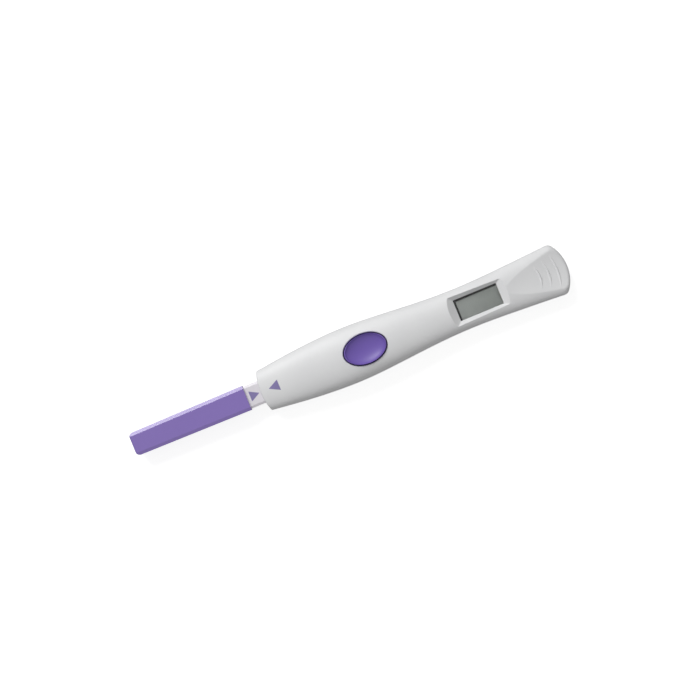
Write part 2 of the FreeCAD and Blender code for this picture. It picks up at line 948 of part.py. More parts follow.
def battery_contact_bottom():
    """The flat strip from the board to the underside of the cell."""
    start = board_end - contact_lap
    return block(start, cell_place + contact_reach, contact_width / 2, board_top, cell_bottom)


def battery_contact_top():
    """The bent strip from the board up over the cell."""
    away = -contact_width / 2 - arm_gap
    near = away - arm_width
    top = cell_bottom + cell_thickness + contact_thickness
    foot_top = board_top + contact_thickness
    bend = board_end - contact_thickness
    foot = side_block(board_end - arm_foot, board_end, near, away, board_top, foot_top)
    riser = side_block(bend, board_end, near, away, board_top, top)
    arm = side_block(bend, cell_place + arm_reach, near, away, top - contact_thickness, top)
    return joined([foot, riser, arm])


def stick_block(start, end, inset, bottom, top):
    """A length of the stick's outer form, inset at the plug under the cap."""
    return block(start, end, stick_width / 2 - inset, bottom, top)


def bevelled_section(place, half_width, half_height, bevel_width, bevel_drop):
    """A rectangle across the stick at a place, with its corners bevelled."""
    x = along(place)
    flat = half_width - bevel_width
    side = half_height - bevel_drop
    outline = [
        (-flat, half_height),
        (flat, half_height),
        (half_width, side),
        (half_width, -side),
        (flat, -half_height),
        (-flat, -half_height),
        (-half_width, -side),
        (-half_width, side),
    ]
    corners = [Vector(x, y, parting_height + z) for y, z in outline]
    return Part.makePolygon(corners + corners[:1])


def stick_form():
    """The outer form of the stick: the bevelled neck and holder end, and the thinner plug in the cap."""
    ends = [
        bevelled_section(place, stick_width / 2, stick_height / 2, stick_bevel_width, stick_bevel_drop)
        for place in (-neck_length, stick_depth)
    ]
    main = Part.makeLoft(ends, True, True)
    plug = stick_block(
        -neck_length - plug_length, -neck_length, plug_step, stick_bottom + plug_step, stick_top - plug_step
    )
    return main.fuse(plug)


def stick_room():
    """The channel inside the stick, open at the sampler end."""
    half = stick_width / 2 - plug_step - stick_wall
    start = -neck_length - plug_length - 1.0
    return block(start, stick_depth - stick_wall, half, stick_bottom + stick_skin, stick_top - stick_skin)


def stick_top_shell():
    """The upper half of the stick, with ribs that hold the strip down."""
    rib_places = [stick_depth * share for share in (0.16, 0.44, 0.75)]
    ribs = [block(place, place + strip_rib_thickness, far, parting_height, far) for place in rib_places]
    room = stick_room().cut(ribs)
    upper = stick_form().common(upper_half())
    return upper.cut(room)


def stick_bottom_shell():
    """The lower half of the stick, with the reading windows and the ledges under the pads."""
    pad_bottom = parting_height - strip_height - pad_height
    sink_middle = strip_length - wick_inset - sink_length / 2
    ledge_places = (-wick_inset + conjugate_length / 3, sink_middle)
    ledges = [block(place, place + strip_rib_thickness, far, 0.0, pad_bottom) for place in ledge_places]
    room = stick_room().cut(ledges)
    lower = stick_form().cut(upper_half()).cut(room)
    half = window_length / 2
    windows = [block(p - half, p + half, window_width / 2, 0.0, pad_bottom) for p in window_places]
    return lower.cut(windows)


def absorbent_wick():
    """The long fibre sampler that sticks out of the stick into the cap."""
    bottom = parting_height - wick_height / 2
    wick = block(-wick_inset - wick_length, -wick_inset, wick_width / 2, bottom, bottom + wick_height)
    tip = [
        edge
        for edge in wick.Edges
        if edge.BoundBox.ZLength > wick_height / 2 and edge.CenterOfMass.x < along(-wick_length)
    ]
    return wick.makeFillet(wick_width / 4, tip)


def strip_pad(start, length):
    """A pad under the strip that touches it."""
    bottom = parting_height - strip_height - pad_height
    return block(start, start + length, wick_width / 2, bottom, bottom + pad_height)


def membrane_strip():
    """The backed test membrane."""
    bottom = parting_height - strip_height
    return block(-wick_inset, -wick_inset + strip_length, wick_width / 2, bottom, parting_height)


def conjugate_pad():
    """The pad between the sampler and the membrane."""
    return strip_pad(-wick_inset, conjugate_length)


def sink_pad():
    """The pad that draws the sample along the membrane."""
    return strip_pad(-wick_inset + strip_length - sink_length, sink_length)


def upright_rectangle(place, half_width, half_height):
    """A rectangle across the stick at a place."""
    x = along(place)
    corners = [
        Vector(x, -half_width, parting_height - half_height),
        Vector(x, half_width, parting_height - half_height),
        Vector(x, half_width, parting_height + half_height),
        Vector(x, -half_width, parting_height + half_height),
    ]
    return Part.makePolygon(corners + corners[:1])


def tip_cap():
    """The tapered cap with its bevelled long edges and rounded closed end."""
    mouth = -neck_length
    tip = mouth - cap_length
    tip_side = cap_tip_width / 2
    mouth_side = cap_mouth_width / 2
    tip_top = cap_tip_height / 2
    mouth_top = cap_mouth_height / 2
    ends = [
        bevelled_section(tip, tip_side, tip_top, cap_bevel_width, cap_bevel_drop),
        bevelled_section(mouth, mouth_side, mouth_top, cap_bevel_width, cap_bevel_drop),
    ]
    cap = Part.makeLoft(ends, True, True)
    corners = [
        edge
        for edge in cap.Edges
        if edge.BoundBox.ZLength > tip_top and edge.CenterOfMass.x < along(tip + cap_corner)
    ]
    cap = cap.makeFillet(cap_corner, corners)
    chamfer = cap_tip_chamfer
    side_view = [
        (tip, tip_top - chamfer),
        (tip + chamfer, tip_top),
        (mouth, mouth_top),
        (mouth, -mouth_top),
        (tip + chamfer, -tip_top),
        (tip, chamfer - tip_top),
    ]
    outline = [Vector(along(place), -far / 2, parting_height + z) for place, z in side_view]
    cap = cap.common(Part.Face(Part.makePolygon(outline + outline[:1])).extrude(Vector(0, far, 0)))
    bore_side = stick_width / 2 - plug_step + cap_clearance
    bore_top = stick_height / 2 - plug_step + cap_clearance
    bore = [
        upright_rectangle(tip + 1.5 * cap_wall, tip_side - cap_wall, wick_height / 2 + cap_wick_room),
        upright_rectangle(mouth + cap_clearance, bore_side, bore_top),
    ]
    plug_start = mouth - plug_length - 3 * cap_clearance
    plug = block(plug_start, mouth + 1.0, bore_side, parting_height - bore_top, parting_height + bore_top)
    return cap.cut([Part.makeLoft(bore, True, True), plug])


def build():
    """Every piece of the test by node name."""
    body = casing_body()
    cavity = casing_cavity()
    groove = seam_groove()
    return {
        "front_casing": front_casing(body, cavity, groove),
        "rear_casing": rear_casing(body, cavity, groove),
        "eject_button": eject_button(),
        "ejector_slide": ejector_slide(),
        "button_spring": button_spring(),
        "circuit_board": circuit_board(),
        "reader_housing": reader_housing(),
        "reader_leds": reader_chips(-chip_side),
        "reader_photodiodes": reader_chips(chip_side),
        "controller_chip": controller_chip(),
        "surface_components": surface_components(),
        "stick_switch": stick_switch(),
        "display_window": display_window(),
        "display_gasket": display_gasket(),
        "lcd_front_polariser": lcd_front_polariser(),
        "lcd_front_glass": lcd_front_glass(),
        "lcd_rear_glass": lcd_rear_glass(),
        "lcd_reflector": lcd_reflector(),
        "display_frame": display_frame(),
        "zebra_connector": zebra_connector(),
        "battery_cell": battery_cell(),
        "battery_contact_bottom": battery_contact_bottom(),
        "battery_contact_top": battery_contact_top(),
        "stick_top_shell": stick_top_shell(),
        "stick_bottom_shell": stick_bottom_shell(),
        "absorbent_wick": absorbent_wick(),
        "membrane_strip": membrane_strip(),
        "conjugate_pad": conjugate_pad(),
        "sink_pad": sink_pad(),
        "tip_cap": tip_cap(),
    }


def main():
    """Write one STEP file for each piece."""
    os.makedirs("parts", exist_ok=True)
    for name, shape in build().items():
        print(name, shape.isValid(), len(shape.Solids), round(shape.Volume, 1))
        shape.exportStep(os.path.join("parts", name + ".step"))


main()
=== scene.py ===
"""Looks of the digital ovulation test: finishes, printed arrows, coil, fibres, board detail and studio."""

import logging
import math
from dataclasses import dataclass
from enum import Enum
from typing import ClassVar

import bmesh
import bpy
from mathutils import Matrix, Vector
from mathutils.bvhtree import BVHTree


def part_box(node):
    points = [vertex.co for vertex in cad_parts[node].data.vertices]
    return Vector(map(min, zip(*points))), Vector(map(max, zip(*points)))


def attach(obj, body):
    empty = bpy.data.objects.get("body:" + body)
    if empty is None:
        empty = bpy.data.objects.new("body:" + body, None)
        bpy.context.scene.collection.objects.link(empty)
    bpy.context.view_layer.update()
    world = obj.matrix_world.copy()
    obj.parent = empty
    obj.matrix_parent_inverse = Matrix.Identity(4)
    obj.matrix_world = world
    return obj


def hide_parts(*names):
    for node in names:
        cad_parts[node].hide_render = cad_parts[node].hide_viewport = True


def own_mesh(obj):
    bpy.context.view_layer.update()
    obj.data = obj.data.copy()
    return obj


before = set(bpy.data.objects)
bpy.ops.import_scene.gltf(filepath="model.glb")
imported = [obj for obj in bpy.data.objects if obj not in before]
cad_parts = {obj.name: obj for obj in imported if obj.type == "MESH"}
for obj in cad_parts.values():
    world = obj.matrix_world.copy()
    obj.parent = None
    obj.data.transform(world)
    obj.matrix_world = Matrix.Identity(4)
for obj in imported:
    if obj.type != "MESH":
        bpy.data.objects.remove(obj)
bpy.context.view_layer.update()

log = logging.getLogger("ovulation_test")

Colour = tuple[float, float, float]

MM = 0.001
CUT_TOLERANCE = 1e-7

SURFACE_OUTPUTS = {"Colour": "NodeSocketColor", "Roughness": "NodeSocketFloat", "Height": "NodeSocketFloat"}


# Small helpers for node trees


def set_value(node: bpy.types.Node, name: str, value: object) -> None:
    """Set the constant of a named input socket."""
    node.inputs[name].default_value = value


def rgba(colour: Colour) -> tuple[float, float, float, float]:
    """The colour with full alpha."""
    return (*colour, 1.0)


class Tree:
    """A node tree being wired, with short calls for the nodes that recur."""

    def __init__(self, tree: bpy.types.NodeTree) -> None:
        """Keep the tree and its links.

        Args:
            tree: The shader or geometry node tree to fill.
        """
        self.tree = tree

    def add(self, kind: str, **settings: object) -> bpy.types.Node:
        """Add one node.

        Args:
            kind: The node's type name.
            **settings: Properties of the node itself.

        Returns:
            The new node.
        """
        node = self.tree.nodes.new(kind)
        for name, value in settings.items():
            setattr(node, name, value)
        return node

    def link(self, source: bpy.types.NodeSocket, target: bpy.types.NodeSocket) -> None:
        """Join an output to an input."""
        self.tree.links.new(source, target)

    def feed(self, target: bpy.types.NodeSocket, value: object) -> None:
        """Link a socket to the target, or set a plain value on it.

        Args:
            target: The input socket.
            value: An output socket, or a constant.
        """
        if isinstance(value, bpy.types.NodeSocket):
            self.link(value, target)
        else:
            target.default_value = value

    def math(
        self, operation: str, first: object, second: object = 0.0, third: object = 0.0
    ) -> bpy.types.NodeSocket:
        """Add a Math node.

        Args:
            operation: The operation's name.
            first: Socket or number.
            second: Socket or number.
            third: Socket or number.

        Returns:
            The result socket.
        """
        node = self.add("ShaderNodeMath", operation=operation)
        for socket, value in zip(node.inputs, (first, second, third)):
            self.feed(socket, value)
        return node.outputs[0]

    def ramp(
        self,
        value: object,
        low: object,
        high: object,
        out_low: object = 0.0,
        out_high: object = 1.0,
        kind: str = "SMOOTHSTEP",
    ) -> bpy.types.NodeSocket:
        """Map a value, clamped, from one range to another.

        Args:
            value: The socket to map.
            low: Value that gives out_low.
            high: Value that gives out_high.
            out_low: Result at and below low.
            out_high: Result at and above high.
            kind: How it runs between them.

        Returns:
            The mapped socket.
        """
        node = self.add("ShaderNodeMapRange", interpolation_type=kind)
        names = ("Value", "From Min", "From Max", "To Min", "To Max")
        for name, number in zip(names, (value, low, high, out_low, out_high)):
            self.feed(node.inputs[name], number)
        return node.outputs["Result"]

    def mix(self, factor: object, first: object, second: object) -> bpy.types.NodeSocket:
        """Mix two colours.

        Args:
            factor: Share of the second colour.
            first: First colour.
            second: Second colour.

        Returns:
            The mixed colour.
        """
        node = self.add("ShaderNodeMix", data_type="RGBA")
        self.feed(node.inputs[0], factor)
        self.feed(node.inputs[6], first)
        self.feed(node.inputs[7], second)
        return node.outputs[2]

    def noise(self, vector: bpy.types.NodeSocket, scale: object, detail: float = 2.0) -> bpy.types.NodeSocket:
        """Add a noise texture.

        Args:
            vector: Coordinates to read.
            scale: Repeats per metre.
            detail: Octaves.

        Returns:
            The noise value.
        """
        node = self.add("ShaderNodeTexNoise")
        self.link(vector, node.inputs["Vector"])
        self.feed(node.inputs["Scale"], scale)
        set_value(node, "Detail", detail)
        return node.outputs[0]

    def stretched(
        self, vector: bpy.types.NodeSocket, scale: tuple[float, float, float]
    ) -> bpy.types.NodeSocket:
        """Scale coordinates unevenly.

        Args:
            vector: Coordinates to scale.
            scale: Factor along each axis.

        Returns:
            The scaled coordinates.
        """
        node = self.add("ShaderNodeMapping")
        self.link(vector, node.inputs["Vector"])
        set_value(node, "Scale", scale)
        return node.outputs["Vector"]


def shader_group(name: str, inputs: dict[str, object]) -> tuple[Tree, dict, dict]:
    """Make an empty shader node group with named inputs that puts out colour, roughness and height.

    Args:
        name: Name of the group.
        inputs: Default value by input name: a number, or a colour.

    Returns:
        The tree, the sockets that give its inputs and the sockets that take its outputs.
    """
    tree = bpy.data.node_groups.new(name, "ShaderNodeTree")
    for label, default in inputs.items():
        kind = "NodeSocketFloat" if isinstance(default, float) else "NodeSocketColor"
        socket = tree.interface.new_socket(name=label, in_out="INPUT", socket_type=kind)
        socket.default_value = default if isinstance(default, float) else rgba(default)
    for label, kind in SURFACE_OUTPUTS.items():
        tree.interface.new_socket(name=label, in_out="OUTPUT", socket_type=kind)
    wired = Tree(tree)
    return wired, wired.add("NodeGroupInput").outputs, wired.add("NodeGroupOutput").inputs


def moulded_group() -> bpy.types.NodeTree:
    """The surface of a moulded part: soft tone patches, uneven gloss and fine eroded grain.

    Returns:
        The shader node group.
    """
    inputs = {
        "Colour": (0.8, 0.8, 0.8),
        "Deep Colour": (0.7, 0.7, 0.7),
        "Patch Scale": 60.0,
        "Smear Scale": 180.0,
        "Grain Scale": 4000.0,
        "Grain Share": 0.4,
        "Roughness": 0.4,
        "Gloss Spread": 0.1,
    }
    middle_of_noise = 0.5
    tree, given, result = shader_group("moulded_surface", inputs)
    place = tree.add("ShaderNodeTexCoord").outputs["Object"]
    tone = tree.ramp(tree.noise(place, given["Patch Scale"], 3.0), 0.3, 0.7)
    tree.link(tree.mix(tone, given["Colour"], given["Deep Colour"]), result["Colour"])
    grain = tree.noise(place, given["Grain Scale"])
    smears = tree.noise(tree.stretched(place, (1.0, 2.6, 1.0)), given["Smear Scale"])
    both = tree.math("MULTIPLY_ADD", grain, given["Grain Share"], smears)
    middle = tree.math("MULTIPLY_ADD", given["Grain Share"], middle_of_noise, middle_of_noise)
    uneven = tree.math("SUBTRACT", both, middle)
    gloss = tree.math("MULTIPLY_ADD", uneven, given["Gloss Spread"], given["Roughness"])
    tree.link(gloss, result["Roughness"])
    tree.link(grain, result["Height"])
    return tree.tree


def metal_group() -> bpy.types.NodeTree:
    """Rolled or drawn metal: fine lines along X and faint tarnish.

    Returns:
        The shader node group.
    """
    inputs = {
        "Colour": (0.6, 0.6, 0.6),
        "Tarnish": (0.4, 0.36, 0.3),
        "Stain Scale": 260.0,
        "Stain Share": 0.45,
        "Stain Roughness": 0.35,
        "Line Scale": 9000.0,
        "Line Roughness": 0.12,
        "Roughness": 0.25,
    }
    tree, given, result = shader_group("rolled_metal", inputs)
    place = tree.add("ShaderNodeTexCoord").outputs["Object"]
    lines = tree.noise(tree.stretched(place, (0.04, 1.0, 1.0)), given["Line Scale"])
    stain = tree.ramp(tree.noise(place, given["Stain Scale"], 4.0), 0.48, 0.72, 0.0, given["Stain Share"])
    tree.link(tree.mix(stain, given["Colour"], given["Tarnish"]), result["Colour"])
    rough = tree.math("MULTIPLY_ADD", stain, given["Stain Roughness"], given["Roughness"])
    tree.link(tree.math("MULTIPLY_ADD", lines, given["Line Roughness"], rough), result["Roughness"])
    tree.link(lines, result["Height"])
    return tree.tree


def fibre_group() -> bpy.types.NodeTree:
    """Pressed fibre: long strands along X with painted shade in the gaps between them, matted here and there.

    Returns:
        The shader node group.
    """
    inputs = {
        "Colour": (0.85, 0.84, 0.8),
        "Shade": (0.6, 0.58, 0.53),
        "Bend Scale": 420.0,
        "Strand Scale": 5200.0,
        "Mat Scale": 900.0,
        "Mat Share": 0.35,
    }
    bend_reach = 0.6 * MM
    tree, given, result = shader_group("pressed_fibre", inputs)
    place = tree.add("ShaderNodeTexCoord").outputs["Object"]
    warp = tree.add("ShaderNodeTexNoise")
    tree.link(place, warp.inputs["Vector"])
    tree.link(given["Bend Scale"], warp.inputs["Scale"])
    bend = tree.add("ShaderNodeVectorMath", operation="MULTIPLY_ADD")
    tree.link(warp.outputs["Color"], bend.inputs[0])
    bend.inputs[1].default_value = (bend_reach, bend_reach, bend_reach)
    tree.link(place, bend.inputs[2])
    strands = tree.noise(tree.stretched(bend.outputs[0], (0.12, 1.0, 1.0)), given["Strand Scale"], 3.0)
    mats = tree.ramp(tree.noise(place, given["Mat Scale"]), 0.4, 0.7, 0.0, given["Mat Share"])
    # Painted shade in the gaps between strands, joined with the darker matted patches.
    shade = tree.math("MAXIMUM", tree.ramp(strands, 0.36, 0.6, 1.0, 0.0), mats)
    tree.link(tree.mix(shade, given["Colour"], given["Shade"]), result["Colour"])
    tree.link(tree.ramp(shade, 0.0, 1.0, 0.86, 0.94, "LINEAR"), result["Roughness"])
    tree.link(strands, result["Height"])
    return tree.tree


def solder_mask_group() -> bpy.types.NodeTree:
    """Green lacquer over a glass laminate, with copper tracks standing under it and a faint weave.

    Returns:
        The shader node group.
    """
    inputs = {
        "Colour": (0.02, 0.13, 0.05),
        "Track Colour": (0.06, 0.27, 0.1),
        "Track Scale": 620.0,
        "Weave Scale": 2600.0,
        "Weave Share": 0.15,
    }
    tree, given, result = shader_group("solder_mask", inputs)
    place = tree.add("ShaderNodeTexCoord").outputs["Object"]
    bricks = tree.add("ShaderNodeTexBrick", offset=0.37, squash=1.6, squash_frequency=3)
    tree.link(tree.stretched(place, (0.22, 1.0, 1.0)), bricks.inputs["Vector"])
    tree.link(given["Track Scale"], bricks.inputs["Scale"])
    set_value(bricks, "Mortar Size", 0.055)
    set_value(bricks, "Mortar Smooth", 0.3)
    track = bricks.outputs["Fac"]
    weave = tree.noise(tree.stretched(place, (1.0, 1.0, 0.1)), given["Weave Scale"], 1.0)
    tree.link(tree.mix(track, given["Colour"], given["Track Colour"]), result["Colour"])
    tree.link(tree.ramp(weave, 0.0, 1.0, 0.22, 0.34, "LINEAR"), result["Roughness"])
    tree.link(tree.math("MULTIPLY_ADD", weave, given["Weave Share"], track), result["Height"])
    return tree.tree


def display_group() -> bpy.types.NodeTree:
    """The unlit display: a grey-green field with painted shade that darkens it slowly along the window
    towards the tail end, and a fine cell mottle.

    Returns:
        The shader node group.
    """
    inputs = {
        "Lit End Colour": (0.25, 0.27, 0.26),
        "Shaded End Colour": (0.2, 0.22, 0.21),
        "Start": 0.017,
        "End": 0.035,
        "Drift Scale": 120.0,
        "Drift": 0.004,
        "Mottle Scale": 7000.0,
        "Mottle Roughness": 0.1,
        "Roughness": 0.3,
    }
    tree, given, result = shader_group("unlit_display", inputs)
    place = tree.add("ShaderNodeTexCoord").outputs["Object"]
    parts = tree.add("ShaderNodeSeparateXYZ")
    tree.link(place, parts.inputs[0])
    cloud = tree.noise(place, given["Drift Scale"])
    drift = tree.math("MULTIPLY_ADD", cloud, given["Drift"], parts.outputs["X"])
    # Painted shade: the film darkens from its lit end to its shaded end along X.
    along = tree.ramp(drift, given["Start"], given["End"])
    tree.link(tree.mix(along, given["Lit End Colour"], given["Shaded End Colour"]), result["Colour"])
    mottle = tree.noise(place, given["Mottle Scale"], 1.0)
    rough = tree.math("MULTIPLY_ADD", mottle, given["Mottle Roughness"], given["Roughness"])
    tree.link(rough, result["Roughness"])
    tree.link(mottle, result["Height"])
    return tree.tree


class Pattern(Enum):
    """The shared surface patterns, each a shader node group of this name."""

    MOULDED = "moulded_surface"
    METAL = "rolled_metal"
    FIBRE = "pressed_fibre"
    BOARD = "solder_mask"
    DISPLAY = "unlit_display"


PATTERN_MAKERS = {
    Pattern.MOULDED: moulded_group,
    Pattern.METAL: metal_group,
    Pattern.FIBRE: fibre_group,
    Pattern.BOARD: solder_mask_group,
    Pattern.DISPLAY: display_group,
}


def pattern_tree(pattern: Pattern) -> bpy.types.NodeTree:
    """The node group of a pattern, made on first use.

    Args:
        pattern: The pattern wanted.

    Returns:
        The shared node group.
    """
    if pattern.value in bpy.data.node_groups:
        return bpy.data.node_groups[pattern.value]
    return PATTERN_MAKERS[pattern]()


made_materials: dict[str, bpy.types.Material] = {}


@dataclass(frozen=True)
class Finish:
    """One surface finish: a shared pattern with its own values, and the shader's plain constants."""

    name: str
    pattern: Pattern
    values: tuple[tuple[str, object], ...]
    depth: float = 0.002
    metallic: float = 0.0
    ior: float = 1.5
    coat: float = 0.0
    coat_roughness: float = 0.1
    transmission: float = 0.0
    subsurface: float = 0.0
    specular: float = 0.5

    def material(self) -> bpy.types.Material:
        """Make the material, or give the one that was made before.

        Returns:
            The material.
        """
        if self.name in made_materials:
            return made_materials[self.name]
        material = bpy.data.materials.new(self.name)
        made_materials[self.name] = material
        material.use_nodes = True
        tree = Tree(material.node_tree)
        shader = material.node_tree.nodes["Principled BSDF"]
        group = tree.add("ShaderNodeGroup", node_tree=pattern_tree(self.pattern))
        for label, value in self.values:
            set_value(group, label, rgba(value) if isinstance(value, tuple) else value)
        tree.link(group.outputs["Colour"], shader.inputs["Base Color"])
        tree.link(group.outputs["Roughness"], shader.inputs["Roughness"])
        bump = tree.add("ShaderNodeBump")
        set_value(bump, "Strength", 1.0)
        set_value(bump, "Distance", self.depth * MM)
        tree.link(group.outputs["Height"], bump.inputs["Height"])
        tree.link(bump.outputs["Normal"], shader.inputs["Normal"])
        constants = {
            "Metallic": self.metallic,
            "IOR": self.ior,
            "Coat Weight": self.coat,
            "Coat Roughness": self.coat_roughness,
            "Transmission Weight": self.transmission,
            "Subsurface Weight": self.subsurface,
            "Subsurface Radius": (1.0, 0.8, 0.6),
            "Subsurface Scale": 0.0008,
            "Specular IOR Level": self.specular,
        }
        for label, value in constants.items():
            set_value(shader, label, value)
        return material


def moulded(name: str, colour: Colour, deep: Colour, roughness: float = 0.4, **more: float) -> Finish:
    """A finish of moulded plastic.

    Args:
        name: Name of the material.
        colour: Main colour.
        deep: Colour of the deeper patches.
        roughness: Middle roughness.
        **more: Other constants of the finish.

    Returns:
        The finish.
    """
    values = (("Colour", colour), ("Deep Colour", deep), ("Roughness", roughness))
    return Finish(name, Pattern.MOULDED, values, **more)


def metal(name: str, colour: Colour, tarnish: Colour, roughness: float, lines: float = 9000.0) -> Finish:
    """A finish of rolled or drawn metal.

    Args:
        name: Name of the material.
        colour: Main colour.
        tarnish: Colour of the stains.
        roughness: Least roughness.
        lines: Scale of the drawn lines.

    Returns:
        The finish.
    """
    values = (("Colour", colour), ("Tarnish", tarnish), ("Roughness", roughness), ("Line Scale", lines))
    return Finish(name, Pattern.METAL, values, metallic=1.0)


CASING_WHITE = moulded("satin_white_casing", (0.745, 0.748, 0.752), (0.72, 0.723, 0.73), 0.5)
STICK_WHITE = moulded("white_stick_moulding", (0.755, 0.73, 0.77), (0.735, 0.71, 0.75), 0.4)
SLIDE_WHITE = moulded("white_slide_moulding", (0.74, 0.74, 0.72), (0.68, 0.68, 0.66), 0.35)
BUTTON_PURPLE = moulded("purple_button_moulding", (0.152, 0.094, 0.4), (0.144, 0.088, 0.38), 0.44)
CAP_PURPLE = moulded("purple_cap_moulding", (0.233, 0.16, 0.478), (0.225, 0.154, 0.462), 0.24)
PRINT_PURPLE = moulded("printed_purple", (0.2, 0.168, 0.365), (0.22, 0.185, 0.39), 0.5)
FRAME_BLACK = moulded("black_frame_moulding", (0.018, 0.018, 0.02), (0.03, 0.03, 0.032), 0.5)
# Black of the real gasket, and also of the film that paints the display window's shadow.
GASKET_AND_SHADOW_BLACK = moulded("black_gasket_foam_and_painted_shadow", (0.01, 0.01, 0.011), (0.02, 0.02, 0.022), 0.8, depth=0.02)
ZEBRA_BLACK = moulded("zebra_carbon", (0.012, 0.012, 0.013), (0.03, 0.03, 0.03), 0.7, depth=0.01)
ZEBRA_PALE = moulded("zebra_insulator", (0.52, 0.5, 0.44), (0.42, 0.4, 0.35), 0.6, subsurface=0.2)
CHIP_BLACK = moulded("black_chip_resin", (0.012, 0.012, 0.012), (0.03, 0.03, 0.03), 0.22, coat=0.4)
LED_RESIN = moulded("clear_led_resin", (0.8, 0.75, 0.45), (0.75, 0.68, 0.35), 0.15, subsurface=0.3)
DIODE_RESIN = moulded("dark_photodiode_resin", (0.03, 0.02, 0.035), (0.05, 0.03, 0.05), 0.12, coat=0.6)
CERAMIC = moulded("tan_ceramic", (0.36, 0.27, 0.17), (0.28, 0.2, 0.12), 0.45)
MEMBRANE = moulded("white_membrane", (0.82, 0.81, 0.78), (0.76, 0.75, 0.72), 0.75, depth=0.01)
SPRING_STEEL = metal("bright_spring_steel", (0.55, 0.54, 0.52), (0.3, 0.27, 0.23), 0.22)
CONTACT_STEEL = metal("bright_contact_steel", (0.62, 0.6, 0.56), (0.42, 0.38, 0.3), 0.2)
CELL_STEEL = metal("plated_cell_steel", (0.66, 0.65, 0.63), (0.5, 0.48, 0.44), 0.26)
SOLDER = metal("solder", (0.6, 0.6, 0.61), (0.4, 0.4, 0.4), 0.3, 2000.0)
WICK_FIBRE = Finish("pressed_wick_fibre", Pattern.FIBRE, (("Colour", (0.84, 0.83, 0.8)),), depth=0.03)
PAD_FIBRE = Finish(
    "pressed_pad_fibre", Pattern.FIBRE, (("Colour", (0.8, 0.79, 0.75)), ("Strand Scale", 7000.0)), depth=0.02
)
BOARD_GREEN = Finish("green_board_lacquer", Pattern.BOARD, (("Track Scale", 620.0),), depth=0.02, coat=0.5)
DISPLAY_FILM = Finish(
    "display_film",
    Pattern.DISPLAY,
    # Colours of the display's painted shade, at its lit end and at its shaded end.
    (("Lit End Colour", (0.3, 0.315, 0.297)), ("Shaded End Colour", (0.236, 0.25, 0.228)), ("Roughness", 0.4)),
    depth=0.0001,
)
CLEAR = moulded(
    "clear_window", (0.96, 0.97, 0.97), (0.94, 0.96, 0.96), 0.03, transmission=1.0, ior=1.49, depth=0.0
)
GLASS = moulded(
    "display_glass", (0.93, 0.96, 0.95), (0.9, 0.94, 0.93), 0.02, transmission=1.0, ior=1.52, depth=0.0
)
REFLECTOR = moulded("display_reflector", (0.46, 0.5, 0.47), (0.42, 0.46, 0.43), 0.45, metallic=0.6)


# Small helpers for geometry


def smooth_tree() -> bpy.types.NodeTree:
    """Geometry nodes that weld a faceted solid and shade it smooth up to a sharp angle.

    Returns:
        The geometry node group.
    """
    name = "welded_smooth"
    if name in bpy.data.node_groups:
        return bpy.data.node_groups[name]
    group = bpy.data.node_groups.new(name, "GeometryNodeTree")
    group.interface.new_socket(name="Geometry", in_out="INPUT", socket_type="NodeSocketGeometry")
    weld = group.interface.new_socket(name="Weld Distance", in_out="INPUT", socket_type="NodeSocketFloat")
    weld.default_value = 2e-6
    sharp = group.interface.new_socket(name="Sharp Angle", in_out="INPUT", socket_type="NodeSocketFloat")
    sharp.default_value = math.radians(24.0)
    group.interface.new_socket(name="Geometry", in_out="OUTPUT", socket_type="NodeSocketGeometry")
    tree = Tree(group)
    given = tree.add("NodeGroupInput")
    result = tree.add("NodeGroupOutput")
    merge = tree.add("GeometryNodeMergeByDistance")
    tree.link(given.outputs["Geometry"], merge.inputs["Geometry"])
    tree.link(given.outputs["Weld Distance"], merge.inputs["Distance"])
    faces = tree.add("GeometryNodeSetShadeSmooth", domain="FACE")
    tree.link(merge.outputs[0], faces.inputs["Geometry"])
    angle = tree.add("GeometryNodeInputMeshEdgeAngle")
    below = tree.add("FunctionNodeCompare", data_type="FLOAT", operation="LESS_THAN")
    tree.link(angle.outputs["Unsigned Angle"], below.inputs[0])
    tree.link(given.outputs["Sharp Angle"], below.inputs[1])
    edges = tree.add("GeometryNodeSetShadeSmooth", domain="EDGE")
    tree.link(faces.outputs[0], edges.inputs["Geometry"])
    tree.link(below.outputs[0], edges.inputs["Shade Smooth"])
    tree.link(edges.outputs[0], result.inputs[0])
    return group


def dress(node: str, finish: Finish, sharp: float) -> None:
    """Give a solid of the frame its material and smooth shading.

    Args:
        node: Name of the node.
        finish: Its finish.
        sharp: Angle in degrees above which an edge stays sharp.
    """
    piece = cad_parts[node]
    piece.data.materials.clear()
    piece.data.materials.append(finish.material())
    modifier = piece.modifiers.new("welded_smooth", "NODES")
    modifier.node_group = smooth_tree()
    for item in modifier.node_group.interface.items_tree:
        if item.name == "Sharp Angle":
            modifier[item.identifier] = math.radians(sharp)
    weighted = piece.modifiers.new("face_weights", "WEIGHTED_NORMAL")
    weighted.keep_sharp = True
    log.info("dressed %s as %s", node, finish.name)


def keep_piece(piece: bpy.types.Object, body: str, finish: Finish | None = None) -> None:
    """Let a finished piece ride on its body.

    Args:
        piece: The finished mesh object.
        body: The body that carries it.
        finish: Its finish, unless its materials are set already.
    """
    if finish is not None:
        piece.data.materials.clear()
        piece.data.materials.append(finish.material())
    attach(piece, body)
    log.info("built %s on %s", piece.name, body)


def new_piece(name: str, mesh: bpy.types.Mesh) -> bpy.types.Object:
    """Put a mesh into the scene as an object at the origin."""
    piece = bpy.data.objects.new(name, mesh)
    bpy.context.scene.collection.objects.link(piece)
    return piece


def mesh_from(name: str, form: bmesh.types.BMesh, smooth: bool = True) -> bpy.types.Mesh:
    """Turn a bmesh into a mesh with outward normals.

    Args:
        name: Name of the mesh.
        form: The form, which is freed.
        smooth: Whether its faces are shaded smooth.

    Returns:
        The mesh.
    """
    bmesh.ops.recalc_face_normals(form, faces=form.faces)
    for face in form.faces:
        face.smooth = smooth
    mesh = bpy.data.meshes.new(name)
    form.to_mesh(mesh)
    form.free()
    return mesh


